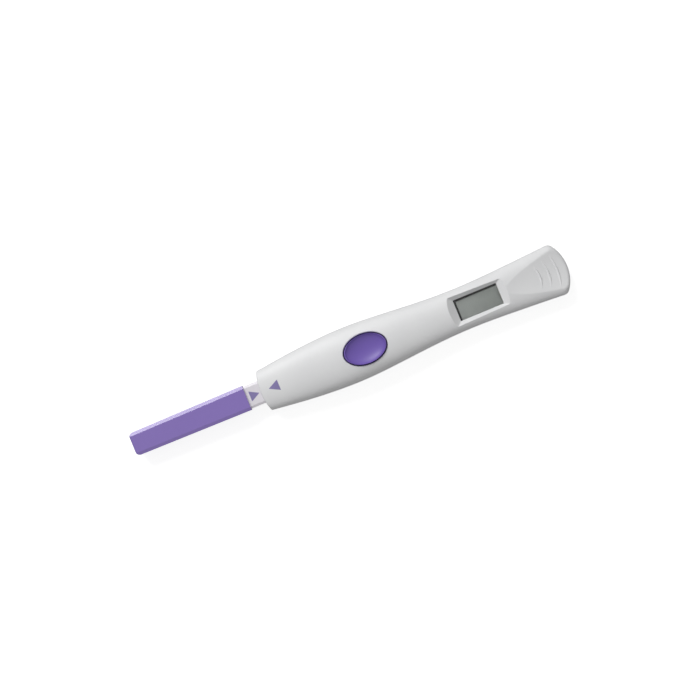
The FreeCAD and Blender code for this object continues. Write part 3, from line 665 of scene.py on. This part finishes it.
def cut_across(form: bmesh.types.BMesh, point: Vector, normal: Vector) -> None:
    """Cut edges into a form where a plane meets it.

    Args:
        form: The form.
        point: A point on the plane.
        normal: The plane's normal.
    """
    parts = form.verts[:] + form.edges[:] + form.faces[:]
    bmesh.ops.bisect_plane(form, geom=parts, plane_co=point, plane_no=normal, dist=CUT_TOLERANCE)


def thicken(form: bmesh.types.BMesh, rise: float) -> None:
    """Make an open sheet a closed film.

    Args:
        form: The sheet.
        rise: How far its second face lies along Z from the first.
    """
    sheet = form.faces[:]
    rim = [edge.verts[:] for edge in form.edges if edge.is_boundary]
    over = {}
    for vertex in form.verts[:]:
        over[vertex] = form.verts.new((vertex.co.x, vertex.co.y, vertex.co.z + rise))
    for face in sheet:
        form.faces.new([over[vertex] for vertex in reversed(face.verts[:])])
    for first, second in rim:
        form.faces.new((first, second, over[second], over[first]))


class GeometryRule:
    """A geometry node tree with named inputs that makes one plain mesh."""

    def __init__(self, name: str, inputs: dict[str, object], takes_mesh: bool = False) -> None:
        """Make the tree and its sockets.

        Args:
            name: Name of the tree.
            inputs: Value by input name: a number, a whole number, a vector or a material.
            takes_mesh: Whether the tree starts from the object's own mesh.
        """
        kinds = {float: "Float", int: "Int", tuple: "Vector", bpy.types.Material: "Material"}
        self.name = name
        self.inputs = inputs
        self.group = bpy.data.node_groups.new(name, "GeometryNodeTree")
        self.group.interface.new_socket(name="Geometry", in_out="OUTPUT", socket_type="NodeSocketGeometry")
        if takes_mesh:
            self.group.interface.new_socket(name="Geometry", in_out="INPUT", socket_type="NodeSocketGeometry")
        for label, value in inputs.items():
            kind = "NodeSocket" + kinds[type(value)]
            self.group.interface.new_socket(name=label, in_out="INPUT", socket_type=kind)
        self.tree = Tree(self.group)
        self.given = self.tree.add("NodeGroupInput").outputs
        self.result = self.tree.add("NodeGroupOutput")

    def row(self, form: bpy.types.NodeSocket) -> bpy.types.NodeSocket:
        """Set copies of a form in a row, from the inputs First, Step and Copies.

        Args:
            form: The geometry to copy.

        Returns:
            The copies.
        """
        line = self.tree.add("GeometryNodeMeshLine", mode="OFFSET")
        for label, name in (("Count", "Copies"), ("Start Location", "First"), ("Offset", "Step")):
            self.tree.link(self.given[name], line.inputs[label])
        return self.copies(line.outputs[0], form).outputs[0]

    def copies(self, points: bpy.types.NodeSocket, form: bpy.types.NodeSocket) -> bpy.types.Node:
        """Set a copy of a form on each point.

        Args:
            points: The points.
            form: The geometry to copy.

        Returns:
            The node that places the copies.
        """
        node = self.tree.add("GeometryNodeInstanceOnPoints")
        self.tree.link(points, node.inputs["Points"])
        self.tree.link(form, node.inputs["Instance"])
        return node

    def swept(self, curve: bpy.types.NodeSocket, radius: str, sides: int) -> bpy.types.Node:
        """Sweep a round section along a curve.

        Args:
            curve: The curve.
            radius: Name of the input with the section's radius.
            sides: Sides of the section.

        Returns:
            The node that sweeps.
        """
        section = self.tree.add("GeometryNodeCurvePrimitiveCircle")
        set_value(section, "Resolution", sides)
        self.tree.link(self.given[radius], section.inputs["Radius"])
        node = self.tree.add("GeometryNodeCurveToMesh")
        self.tree.link(curve, node.inputs["Curve"])
        self.tree.link(section.outputs[0], node.inputs["Profile Curve"])
        return node

    def joined(self, first: bpy.types.NodeSocket, second: bpy.types.NodeSocket) -> bpy.types.NodeSocket:
        """Join two geometries."""
        node = self.tree.add("GeometryNodeJoinGeometry")
        self.tree.link(first, node.inputs[0])
        self.tree.link(second, node.inputs[0])
        return node.outputs[0]

    def close(self, geometry: bpy.types.NodeSocket) -> None:
        """End the tree in Realize Instances and Set Material.

        Args:
            geometry: The geometry to put out.
        """
        real = self.tree.add("GeometryNodeRealizeInstances")
        self.tree.link(geometry, real.inputs[0])
        paint = self.tree.add("GeometryNodeSetMaterial")
        self.tree.link(real.outputs[0], paint.inputs["Geometry"])
        self.tree.link(self.given["Finish"], paint.inputs["Material"])
        self.tree.link(paint.outputs[0], self.result.inputs[0])

    def make(self, start: bpy.types.Mesh | None = None) -> bpy.types.Object:
        """Run the tree and keep its result as a plain mesh.

        Args:
            start: The mesh that the tree starts from.

        Returns:
            The finished object, without modifiers.
        """
        piece = new_piece(self.name, start or bpy.data.meshes.new(self.name + "_start"))
        modifier = piece.modifiers.new(self.name, "NODES")
        modifier.node_group = self.group
        for item in self.group.interface.items_tree:
            if item.in_out == "INPUT" and item.name in self.inputs:
                value = self.inputs[item.name]
                if isinstance(value, tuple):
                    for axis, number in enumerate(value):
                        modifier[item.identifier][axis] = number
                else:
                    modifier[item.identifier] = value
        piece.update_tag()
        bpy.context.view_layer.update()
        seen = piece.evaluated_get(bpy.context.evaluated_depsgraph_get())
        mesh = bpy.data.meshes.new_from_object(seen)
        mesh.name = self.name
        piece.modifiers.clear()
        piece.data = mesh
        return piece


# Sub-assemblies


class Assembly:
    """A sub-assembly: solids of the frame that get a finish, and pieces of its own."""

    finishes: ClassVar[dict[str, Finish]] = {}
    sharp: ClassVar[float] = 24.0

    def dress(self) -> None:
        """Finish its solids."""
        for node, finish in self.finishes.items():
            dress(node, finish, self.sharp)

    def build(self) -> None:
        """Build its own pieces, where it has any."""


class Carrier(Enum):
    """What a printed arrow lies on: the solid and its body."""

    HOLDER = ("front_casing", "holder")
    STICK = ("stick_top_shell", "stick")


@dataclass
class PrintedArrow:
    """One triangular arrow printed on a moulding, given by its apex and base along X, in metres."""

    name: str
    carrier: Carrier
    apex: float
    base: float
    half_width: float
    rounding: float = 0.00008
    corner_steps: int = 4
    ink: float = 0.00002
    film: float = 0.00005
    steps: int = 16
    ray_height: float = 0.03

    def outline(self) -> list[Vector]:
        """The arrow's outline with its corners rounded.

        Returns:
            Points in order, in the XY plane.
        """
        corners = [
            Vector((self.apex, 0.0)),
            Vector((self.base, self.half_width)),
            Vector((self.base, -self.half_width)),
        ]
        points = []
        for index, corner in enumerate(corners):
            before = (corners[index - 1] - corner).normalized() * self.rounding
            after = (corners[(index + 1) % 3] - corner).normalized() * self.rounding
            for step in range(self.corner_steps + 1):
                share = step / self.corner_steps
                first = corner + before * (1 - share)
                second = corner + after * share
                points.append(first.lerp(second, share))
        return points

    def build(self) -> None:
        """Lay the arrow on its carrier as a thin closed film of ink."""
        node, body = self.carrier.value
        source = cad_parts[node].data
        surface = BVHTree.FromPolygons(
            [vertex.co[:] for vertex in source.vertices], [face.vertices[:] for face in source.polygons]
        )
        form = bmesh.new()
        ring = [form.verts.new((point.x, point.y, 0.0)) for point in self.outline()]
        form.faces.new(ring)
        low = min(self.apex, self.base)
        high = max(self.apex, self.base)
        for step in range(1, self.steps):
            share = step / self.steps
            for point, normal in (
                ((low + (high - low) * share, 0.0, 0.0), (1.0, 0.0, 0.0)),
                ((0.0, (2 * share - 1) * self.half_width, 0.0), (0.0, 1.0, 0.0)),
            ):
                cut_across(form, point, normal)
        bmesh.ops.triangulate(form, faces=form.faces)
        for vertex in form.verts:
            above = Vector((vertex.co.x, vertex.co.y, self.ray_height))
            place, normal, _, _ = surface.ray_cast(above, Vector((0.0, 0.0, -1.0)))
            vertex.co = place + normal * self.ink
        thicken(form, -self.film)
        piece = new_piece(self.name, mesh_from(self.name, form, smooth=False))
        keep_piece(piece, body, PRINT_PURPLE)


@dataclass
class Casing(Assembly):
    """The white two-part holder and the arrow at its nose."""

    finishes = {"front_casing": CASING_WHITE, "rear_casing": CASING_WHITE}
    arrow_apex: float = -0.0591
    arrow_base: float = -0.055
    arrow_half_width: float = 0.0021

    def build(self) -> None:
        """Print the arrow that points to the stick."""
        PrintedArrow(
            "holder_arrow", Carrier.HOLDER, self.arrow_apex, self.arrow_base, self.arrow_half_width
        ).build()


@dataclass
class EjectAction(Assembly):
    """The button, its coil spring and the slide that it wedges forward."""

    finishes = {"eject_button": BUTTON_PURPLE, "ejector_slide": SLIDE_WHITE}
    sharp = 30.0
    wire: float = 0.00035
    turns: float = 7.0
    turn_steps: int = 28
    wire_sides: int = 10
    closed_share: float = 0.13
    seat: float = 0.005
    pressed_share: float = 0.661

    def build(self) -> None:
        """Wind the spring with closed end coils, in place of its plain solid."""
        low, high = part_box("button_spring")
        middle = (low + high) / 2
        inputs = {
            "Centre": (middle.x, middle.y, low.z + self.wire / 2),
            "Coil Radius": (high.x - low.x - self.wire) / 2,
            "Wire Radius": self.wire / 2,
            "Height": high.z - low.z - self.wire,
            "Turns": self.turns,
            "Closed Share": self.closed_share,
            "Finish": SPRING_STEEL.material(),
        }
        rule = GeometryRule("coil_spring", inputs)
        tree = rule.tree
        given = rule.given
        spiral = tree.add("GeometryNodeCurveSpiral")
        set_value(spiral, "Resolution", self.turn_steps)
        set_value(spiral, "Height", 0.0)
        tree.link(given["Turns"], spiral.inputs["Rotations"])
        tree.link(given["Coil Radius"], spiral.inputs["Start Radius"])
        tree.link(given["Coil Radius"], spiral.inputs["End Radius"])
        share = tree.add("GeometryNodeSplineParameter").outputs["Factor"]
        end = tree.math("SUBTRACT", 1.0, given["Closed Share"])
        rise = tree.ramp(share, given["Closed Share"], end, 0.0, given["Height"], "LINEAR")
        lift = tree.add("ShaderNodeCombineXYZ")
        tree.link(rise, lift.inputs["Z"])
        place = tree.add("ShaderNodeVectorMath", operation="ADD")
        tree.link(lift.outputs[0], place.inputs[0])
        tree.link(given["Centre"], place.inputs[1])
        moved = tree.add("GeometryNodeSetPosition")
        tree.link(spiral.outputs[0], moved.inputs["Geometry"])
        tree.link(place.outputs[0], moved.inputs["Offset"])
        wire = rule.swept(moved.outputs[0], "Wire Radius", self.wire_sides)
        set_value(wire, "Fill Caps", True)
        rule.close(wire.outputs[0])
        spring = rule.make()
        keep_piece(spring, "holder")
        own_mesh(spring)
        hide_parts("button_spring")


@dataclass
class Display(Assembly):
    """The window, gasket, glasses, a thin black film of painted shadow along two window edges and the striped
    rubber connector under them.
    """

    finishes = {
        "display_window": CLEAR,
        "display_gasket": GASKET_AND_SHADOW_BLACK,
        "lcd_front_polariser": DISPLAY_FILM,
        "lcd_front_glass": GLASS,
        "lcd_rear_glass": GLASS,
        "lcd_reflector": REFLECTOR,
        "display_frame": FRAME_BLACK,
        "zebra_connector": ZEBRA_PALE,
    }
    stripe_pitch: float = 0.0005
    stripe_share: float = 0.5
    stripe_proud: float = 0.00001
    # Size of the thin black film that paints the shadow of the window's edges on the display.
    shadow_width: float = 0.0009
    shadow_thickness: float = 0.00002
    shadow_gap: float = 0.000001
    opening_length: float = 0.0175
    opening_width: float = 0.0083

    def paint_window_shadow(self) -> None:
        """Lay a thin black film along the nose side and the far side of the display film: painted shadow of
        the window's edges on the lit side.
        """
        low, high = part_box("lcd_front_polariser")
        middle = (low + high) / 2
        start = middle.x - self.opening_length / 2
        end = middle.x + self.opening_length / 2
        far = middle.y + self.opening_width / 2
        near = middle.y - self.opening_width / 2
        inner_x = start + self.shadow_width
        inner_y = far - self.shadow_width
        outline = [
            (low.x, near),
            (inner_x, near),
            (inner_x, inner_y),
            (end, inner_y),
            (end, high.y),
            (low.x, high.y),
        ]
        # Black film as painted shadow, where the window's edges on the lit side shade the display.
        form = bmesh.new()
        form.faces.new([form.verts.new((x, y, high.z + self.shadow_gap)) for x, y in outline])
        thicken(form, self.shadow_thickness)
        mask = new_piece("display_painted_shadow", mesh_from("display_painted_shadow", form, smooth=False))
        keep_piece(mask, "holder", GASKET_AND_SHADOW_BLACK)

    def build(self) -> None:
        """Lay the painted window shadow and set the connector's carbon layers a hair proud of its pale
        rubber.
        """
        self.paint_window_shadow()
        low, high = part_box("zebra_connector")
        width = high.y - low.y + 2 * self.stripe_proud
        inputs = {
            "First": (low.x + self.stripe_pitch / 2, (low.y + high.y) / 2, (low.z + high.z) / 2),
            "Step": (self.stripe_pitch, 0.0, 0.0),
            "Layer Size": (self.stripe_pitch * self.stripe_share, width, high.z - low.z),
            "Copies": int((high.x - low.x) / self.stripe_pitch),
            "Finish": ZEBRA_BLACK.material(),
        }
        rule = GeometryRule("connector_layers", inputs)
        layer = rule.tree.add("GeometryNodeMeshCube")
        rule.tree.link(rule.given["Layer Size"], layer.inputs["Size"])
        rule.close(rule.row(layer.outputs[0]))
        keep_piece(rule.make(), "holder")


@dataclass
class Electronics(Assembly):
    """The circuit board, the optical reader and what is soldered on."""

    finishes = {
        "circuit_board": BOARD_GREEN,
        "reader_housing": FRAME_BLACK,
        "reader_leds": LED_RESIN,
        "reader_photodiodes": DIODE_RESIN,
        "controller_chip": CHIP_BLACK,
        "surface_components": CERAMIC,
        "stick_switch": FRAME_BLACK,
    }
    pad_pitch: float = 0.0021
    pad_radius: float = 0.00028
    pad_flatness: float = 0.35
    pad_sides: int = 12
    row_lead: float = 0.006
    row_end_gap: float = 0.001
    row_spread: float = 0.0003

    def build(self) -> None:
        """Set two rows of solder pads along the wide part of the board."""
        frame_low, frame_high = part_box("display_frame")
        board_low, board_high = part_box("circuit_board")
        component_low, component_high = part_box("surface_components")
        start = component_low.x - self.row_lead
        side = (component_high.y - component_low.y) / 2 + self.row_spread
        inputs = {
            "First": (start, side, board_high.z),
            "Step": (self.pad_pitch, 0.0, 0.0),
            "Across": (0.0, -2 * side, 0.0),
            "Pad Radius": self.pad_radius,
            "Copies": int((frame_low.x - start - self.row_end_gap) / self.pad_pitch),
            "Finish": SOLDER.material(),
        }
        rule = GeometryRule("solder_pads", inputs)
        tree = rule.tree
        dome = tree.add("GeometryNodeMeshUVSphere")
        set_value(dome, "Segments", self.pad_sides)
        set_value(dome, "Rings", self.pad_sides // 2)
        tree.link(rule.given["Pad Radius"], dome.inputs["Radius"])
        flat = tree.add("GeometryNodeTransform")
        tree.link(dome.outputs[0], flat.inputs["Geometry"])
        set_value(flat, "Scale", (1.0, 1.0, self.pad_flatness))
        near = rule.row(flat.outputs[0])
        far = tree.add("GeometryNodeTransform")
        tree.link(near, far.inputs["Geometry"])
        tree.link(rule.given["Across"], far.inputs["Translation"])
        rule.close(rule.joined(near, far.outputs[0]))
        keep_piece(rule.make(), "holder")


class Battery(Assembly):
    """The coin cell in the grip end and its two contact strips."""

    finishes = {
        "battery_cell": CELL_STEEL,
        "battery_contact_bottom": CONTACT_STEEL,
        "battery_contact_top": CONTACT_STEEL,
    }


@dataclass
class PressedPad:
    """A soft fibre pad that takes the room of its solid, with pillowed faces and a worked surface."""

    node: str
    body: str
    slot: str
    finish: Finish
    step: float = 0.0005
    rounding: float = 0.00035
    bumps: float = 0.00003
    bump_scale: float = 1500.0
    bump_middle: float = 0.75
    fibre_length: float = 0.0016
    fibre_radius: float = 0.000012
    fibre_points: int = 4
    fibre_sides: int = 3
    fibre_turn: float = 0.5
    fibres: float = 2.2e6
    seed: int = 4
    tip_radius: float = 0.0

    def shape(self) -> bpy.types.Mesh:
        """The pad's closed form.

        Returns:
            The mesh.
        """
        low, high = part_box(self.node)
        middle = (low + high) / 2
        half = (high - low) / 2
        form = bmesh.new()
        bmesh.ops.create_cube(form, size=2.0)
        for vertex in form.verts:
            vertex.co = Vector((vertex.co.x * half.x, vertex.co.y * half.y, vertex.co.z * half.z)) + middle
        for axis in range(3):
            count = max(2, int(2 * half[axis] / self.step))
            normal = Vector((0.0, 0.0, 0.0))
            normal[axis] = 1.0
            for cut in range(1, count):
                point = middle.copy()
                point[axis] = low[axis] + 2 * half[axis] * cut / count
                cut_across(form, point, normal)
        for vertex in form.verts:
            vertex.co = self.rounded(vertex.co, middle, half)
        return mesh_from(self.node + "_form", form)

    def rounded(self, point: Vector, middle: Vector, half: Vector) -> Vector:
        """Round the pad's edges, and the plan of its free tip.

        Args:
            point: A point on the box.
            middle: The box's middle.
            half: Half its size.

        Returns:
            The moved point.
        """
        radius = min(self.rounding, min(half) * 0.8)
        local = point - middle
        if self.tip_radius > 0.0 and local.x < -half.x + self.tip_radius:
            centre_x = -half.x + self.tip_radius
            share = min(1.0, (centre_x - local.x) / self.tip_radius)
            room = half.y - self.tip_radius + self.tip_radius * math.sqrt(max(0.0, 1.0 - share * share))
            local.y *= room / half.y
        core = Vector([max(-half[axis] + radius, min(half[axis] - radius, local[axis])) for axis in range(3)])
        out = local - core
        if out.length > radius:
            local = core + out.normalized() * radius
        return middle + local

    def build(self) -> None:
        """Roughen the form by a rule, bind short fibres to it and put it in the solid's place."""
        inputs = {
            "Bumps": self.bumps,
            "Fibre Length": self.fibre_length,
            "Fibre Radius": self.fibre_radius,
            "Fibres": self.fibres,
            "Seed": self.seed,
            "Finish": self.finish.material(),
        }
        rule = GeometryRule(self.node + "_fibres", inputs, takes_mesh=True)
        tree = rule.tree
        given = rule.given
        noise = tree.add("ShaderNodeTexNoise")
        tree.link(tree.add("GeometryNodeInputPosition").outputs[0], noise.inputs["Vector"])
        set_value(noise, "Scale", self.bump_scale)
        level = tree.math("SUBTRACT", noise.outputs[0], self.bump_middle)
        amount = tree.math("MULTIPLY", level, given["Bumps"])
        push = tree.add("ShaderNodeVectorMath", operation="SCALE")
        tree.link(tree.add("GeometryNodeInputNormal").outputs[0], push.inputs[0])
        tree.link(amount, push.inputs["Scale"])
        base = tree.add("GeometryNodeSetPosition")
        tree.link(given["Geometry"], base.inputs["Geometry"])
        tree.link(push.outputs[0], base.inputs["Offset"])
        points = tree.add("GeometryNodeDistributePointsOnFaces")
        tree.link(base.outputs[0], points.inputs["Mesh"])
        tree.link(given["Fibres"], points.inputs["Density"])
        tree.link(given["Seed"], points.inputs["Seed"])
        fibre = tree.add("GeometryNodeMeshLine", mode="END_POINTS")
        set_value(fibre, "Count", self.fibre_points)
        for label, share in (("Start Location", -0.5), ("Offset", 0.5)):
            end = tree.add("ShaderNodeCombineXYZ")
            tree.link(tree.math("MULTIPLY", given["Fibre Length"], share), end.inputs["X"])
            tree.link(end.outputs[0], fibre.inputs[label])
        curve = tree.add("GeometryNodeMeshToCurve")
        tree.link(fibre.outputs[0], curve.inputs[0])
        strand = rule.swept(curve.outputs[0], "Fibre Radius", self.fibre_sides)
        turn = tree.add("FunctionNodeRandomValue", data_type="FLOAT_VECTOR")
        turn.inputs[0].default_value = (0.0, 0.0, -self.fibre_turn)
        turn.inputs[1].default_value = (0.0, 0.0, self.fibre_turn)
        tree.link(given["Seed"], turn.inputs["Seed"])
        copies = rule.copies(points.outputs["Points"], strand.outputs[0])
        tree.link(turn.outputs[0], copies.inputs["Rotation"])
        rule.close(rule.joined(base.outputs[0], copies.outputs[0]))
        piece = rule.make(self.shape())
        keep_piece(piece, self.body)
        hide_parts(self.node)


@dataclass
class TestStick(Assembly):
    """The white stick with its strip inside, the fibre sampler and the arrow on its neck."""

    finishes = {"stick_top_shell": STICK_WHITE, "stick_bottom_shell": STICK_WHITE, "membrane_strip": MEMBRANE}
    sharp = 20.0
    arrow_apex: float = -0.06307
    arrow_base: float = -0.0668
    arrow_half_width: float = 0.002

    def build(self) -> None:
        """Print the arrow and lay the pads and the sampler."""
        PrintedArrow(
            "stick_arrow", Carrier.STICK, self.arrow_apex, self.arrow_base, self.arrow_half_width
        ).build()
        PressedPad("absorbent_wick", "stick", "wick_fibre", WICK_FIBRE, tip_radius=0.0015).build()
        PressedPad("conjugate_pad", "stick", "pad_fibre", PAD_FIBRE, rounding=0.00015, seed=7).build()
        PressedPad("sink_pad", "stick", "pad_fibre", PAD_FIBRE, rounding=0.00015, seed=9).build()


class TipCap(Assembly):
    """The purple cap over the sampler."""

    finishes = {"tip_cap": CAP_PURPLE}
    sharp = 18.8


@dataclass
class Studio:
    """The pale table, soft light from the upper left and the camera above."""

    middle: tuple[float, float] = (-0.0254, 0.0018)
    height: float = 0.006
    turn: float = -22.5
    view_width: float = 0.2642
    lens: float = 100.0
    sensor: float = 36.0
    light_distance: float = 1.1
    key_power: float = 8.8
    key_size: float = 0.5
    key_elevation: float = 42.0
    key_azimuth: float = 107.0
    fill_power: float = 0.4
    fill_size: float = 0.9
    fill_elevation: float = 50.0
    fill_azimuth: float = 257.0
    sky: float = 0.36
    sky_in_gloss: float = 0.8
    floor_tone: float = 0.45
    floor_glow: float = 0.8
    floor_radius: float = 6.0
    floor_gap: float = 0.00002

    def light(self, name: str, azimuth: float, elevation: float, size: float, power: float) -> None:
        """Add one square soft light that faces the test.

        Args:
            name: Name of the light.
            azimuth: Direction of the light from the test, in degrees from +X.
            elevation: Height of that direction, in degrees.
            size: Side of the light in metres.
            power: Power in watts.
        """
        lamp = bpy.data.lights.new(name, "AREA")
        lamp.energy = power
        lamp.size = size
        turn = math.radians(azimuth)
        rise = math.radians(elevation)
        flat = math.cos(rise)
        direction = Vector((flat * math.cos(turn), flat * math.sin(turn), math.sin(rise)))
        holder = bpy.data.objects.new(name, lamp)
        holder.location = Vector((*self.middle, self.height)) + direction * self.light_distance
        holder.rotation_euler = direction.to_track_quat("Z", "Y").to_euler()
        bpy.context.scene.collection.objects.link(holder)

    def world(self) -> None:
        """A plain sky that shows white to the camera and in reflections."""
        world = bpy.data.worlds.new("studio_sky")
        bpy.context.scene.world = world
        world.use_nodes = True
        tree = Tree(world.node_tree)
        background = world.node_tree.nodes["Background"]
        path = tree.add("ShaderNodeLightPath")
        seen = tree.math("MAXIMUM", path.outputs["Is Camera Ray"], path.outputs["Is Transmission Ray"])
        gloss = tree.math("MULTIPLY", path.outputs["Is Glossy Ray"], self.sky_in_gloss)
        seen = tree.math("MAXIMUM", seen, gloss)
        strength = tree.math("MULTIPLY_ADD", seen, 1.0 - self.sky, self.sky)
        tree.link(strength, background.inputs["Strength"])
        background.inputs["Color"].default_value = (1.0, 1.0, 1.0, 1.0)

    def floor(self) -> None:
        """A pale round table that keeps the shadow and shows nearly white."""
        form = bmesh.new()
        bmesh.ops.create_circle(form, cap_ends=True, segments=96, radius=self.floor_radius)
        for vertex in form.verts:
            vertex.co.z = -self.floor_gap
        table = new_piece("table_top", mesh_from("table_top", form, smooth=False))
        material = bpy.data.materials.new("pale_table")
        material.use_nodes = True
        tree = Tree(material.node_tree)
        shader = material.node_tree.nodes["Principled BSDF"]
        output = material.node_tree.nodes["Material Output"]
        place = tree.add("ShaderNodeTexCoord").outputs["Object"]
        cloud = tree.noise(place, 3.0, 2.0)
        tone = tree.math("MULTIPLY_ADD", cloud, 0.04, self.floor_tone)
        tree.link(tone, shader.inputs["Base Color"])
        set_value(shader, "Roughness", 0.85)
        set_value(shader, "Specular IOR Level", 0.1)
        glow = tree.add("ShaderNodeEmission")
        path = tree.add("ShaderNodeLightPath")
        seen = tree.math("MAXIMUM", path.outputs["Is Camera Ray"], path.outputs["Is Transmission Ray"])
        tree.link(tree.math("MULTIPLY", seen, self.floor_glow), glow.inputs["Strength"])
        both = tree.add("ShaderNodeAddShader")
        tree.link(shader.outputs[0], both.inputs[0])
        tree.link(glow.outputs[0], both.inputs[1])
        tree.link(both.outputs[0], output.inputs["Surface"])
        table.data.materials.append(material)

    def camera(self) -> None:
        """Look straight down with the test turned as in the photograph."""
        lens = bpy.data.cameras.new("overhead")
        lens.lens = self.lens
        lens.sensor_width = self.sensor
        lens.clip_end = 50.0
        viewer = bpy.data.objects.new("overhead", lens)
        distance = self.view_width * self.lens / self.sensor
        viewer.location = (*self.middle, self.height + distance)
        viewer.rotation_euler = (0.0, 0.0, math.radians(self.turn))
        bpy.context.scene.collection.objects.link(viewer)
        bpy.context.scene.camera = viewer

    def build(self) -> None:
        """Set the table, the lights, the sky and the camera."""
        bpy.context.scene.view_settings.view_transform = "Standard"
        self.floor()
        self.world()
        self.light("key", self.key_azimuth, self.key_elevation, self.key_size, self.key_power)
        self.light("fill", self.fill_azimuth, self.fill_elevation, self.fill_size, self.fill_power)
        self.camera()


def main() -> None:
    """Dress and build every sub-assembly in order."""
    logging.basicConfig(level=logging.INFO, format="%(message)s")
    Studio().build()
    for assembly in (Casing(), EjectAction(), Display(), Electronics(), Battery(), TestStick(), TipCap()):
        assembly.dress()
        assembly.build()


if __name__ == "__main__":
    main()
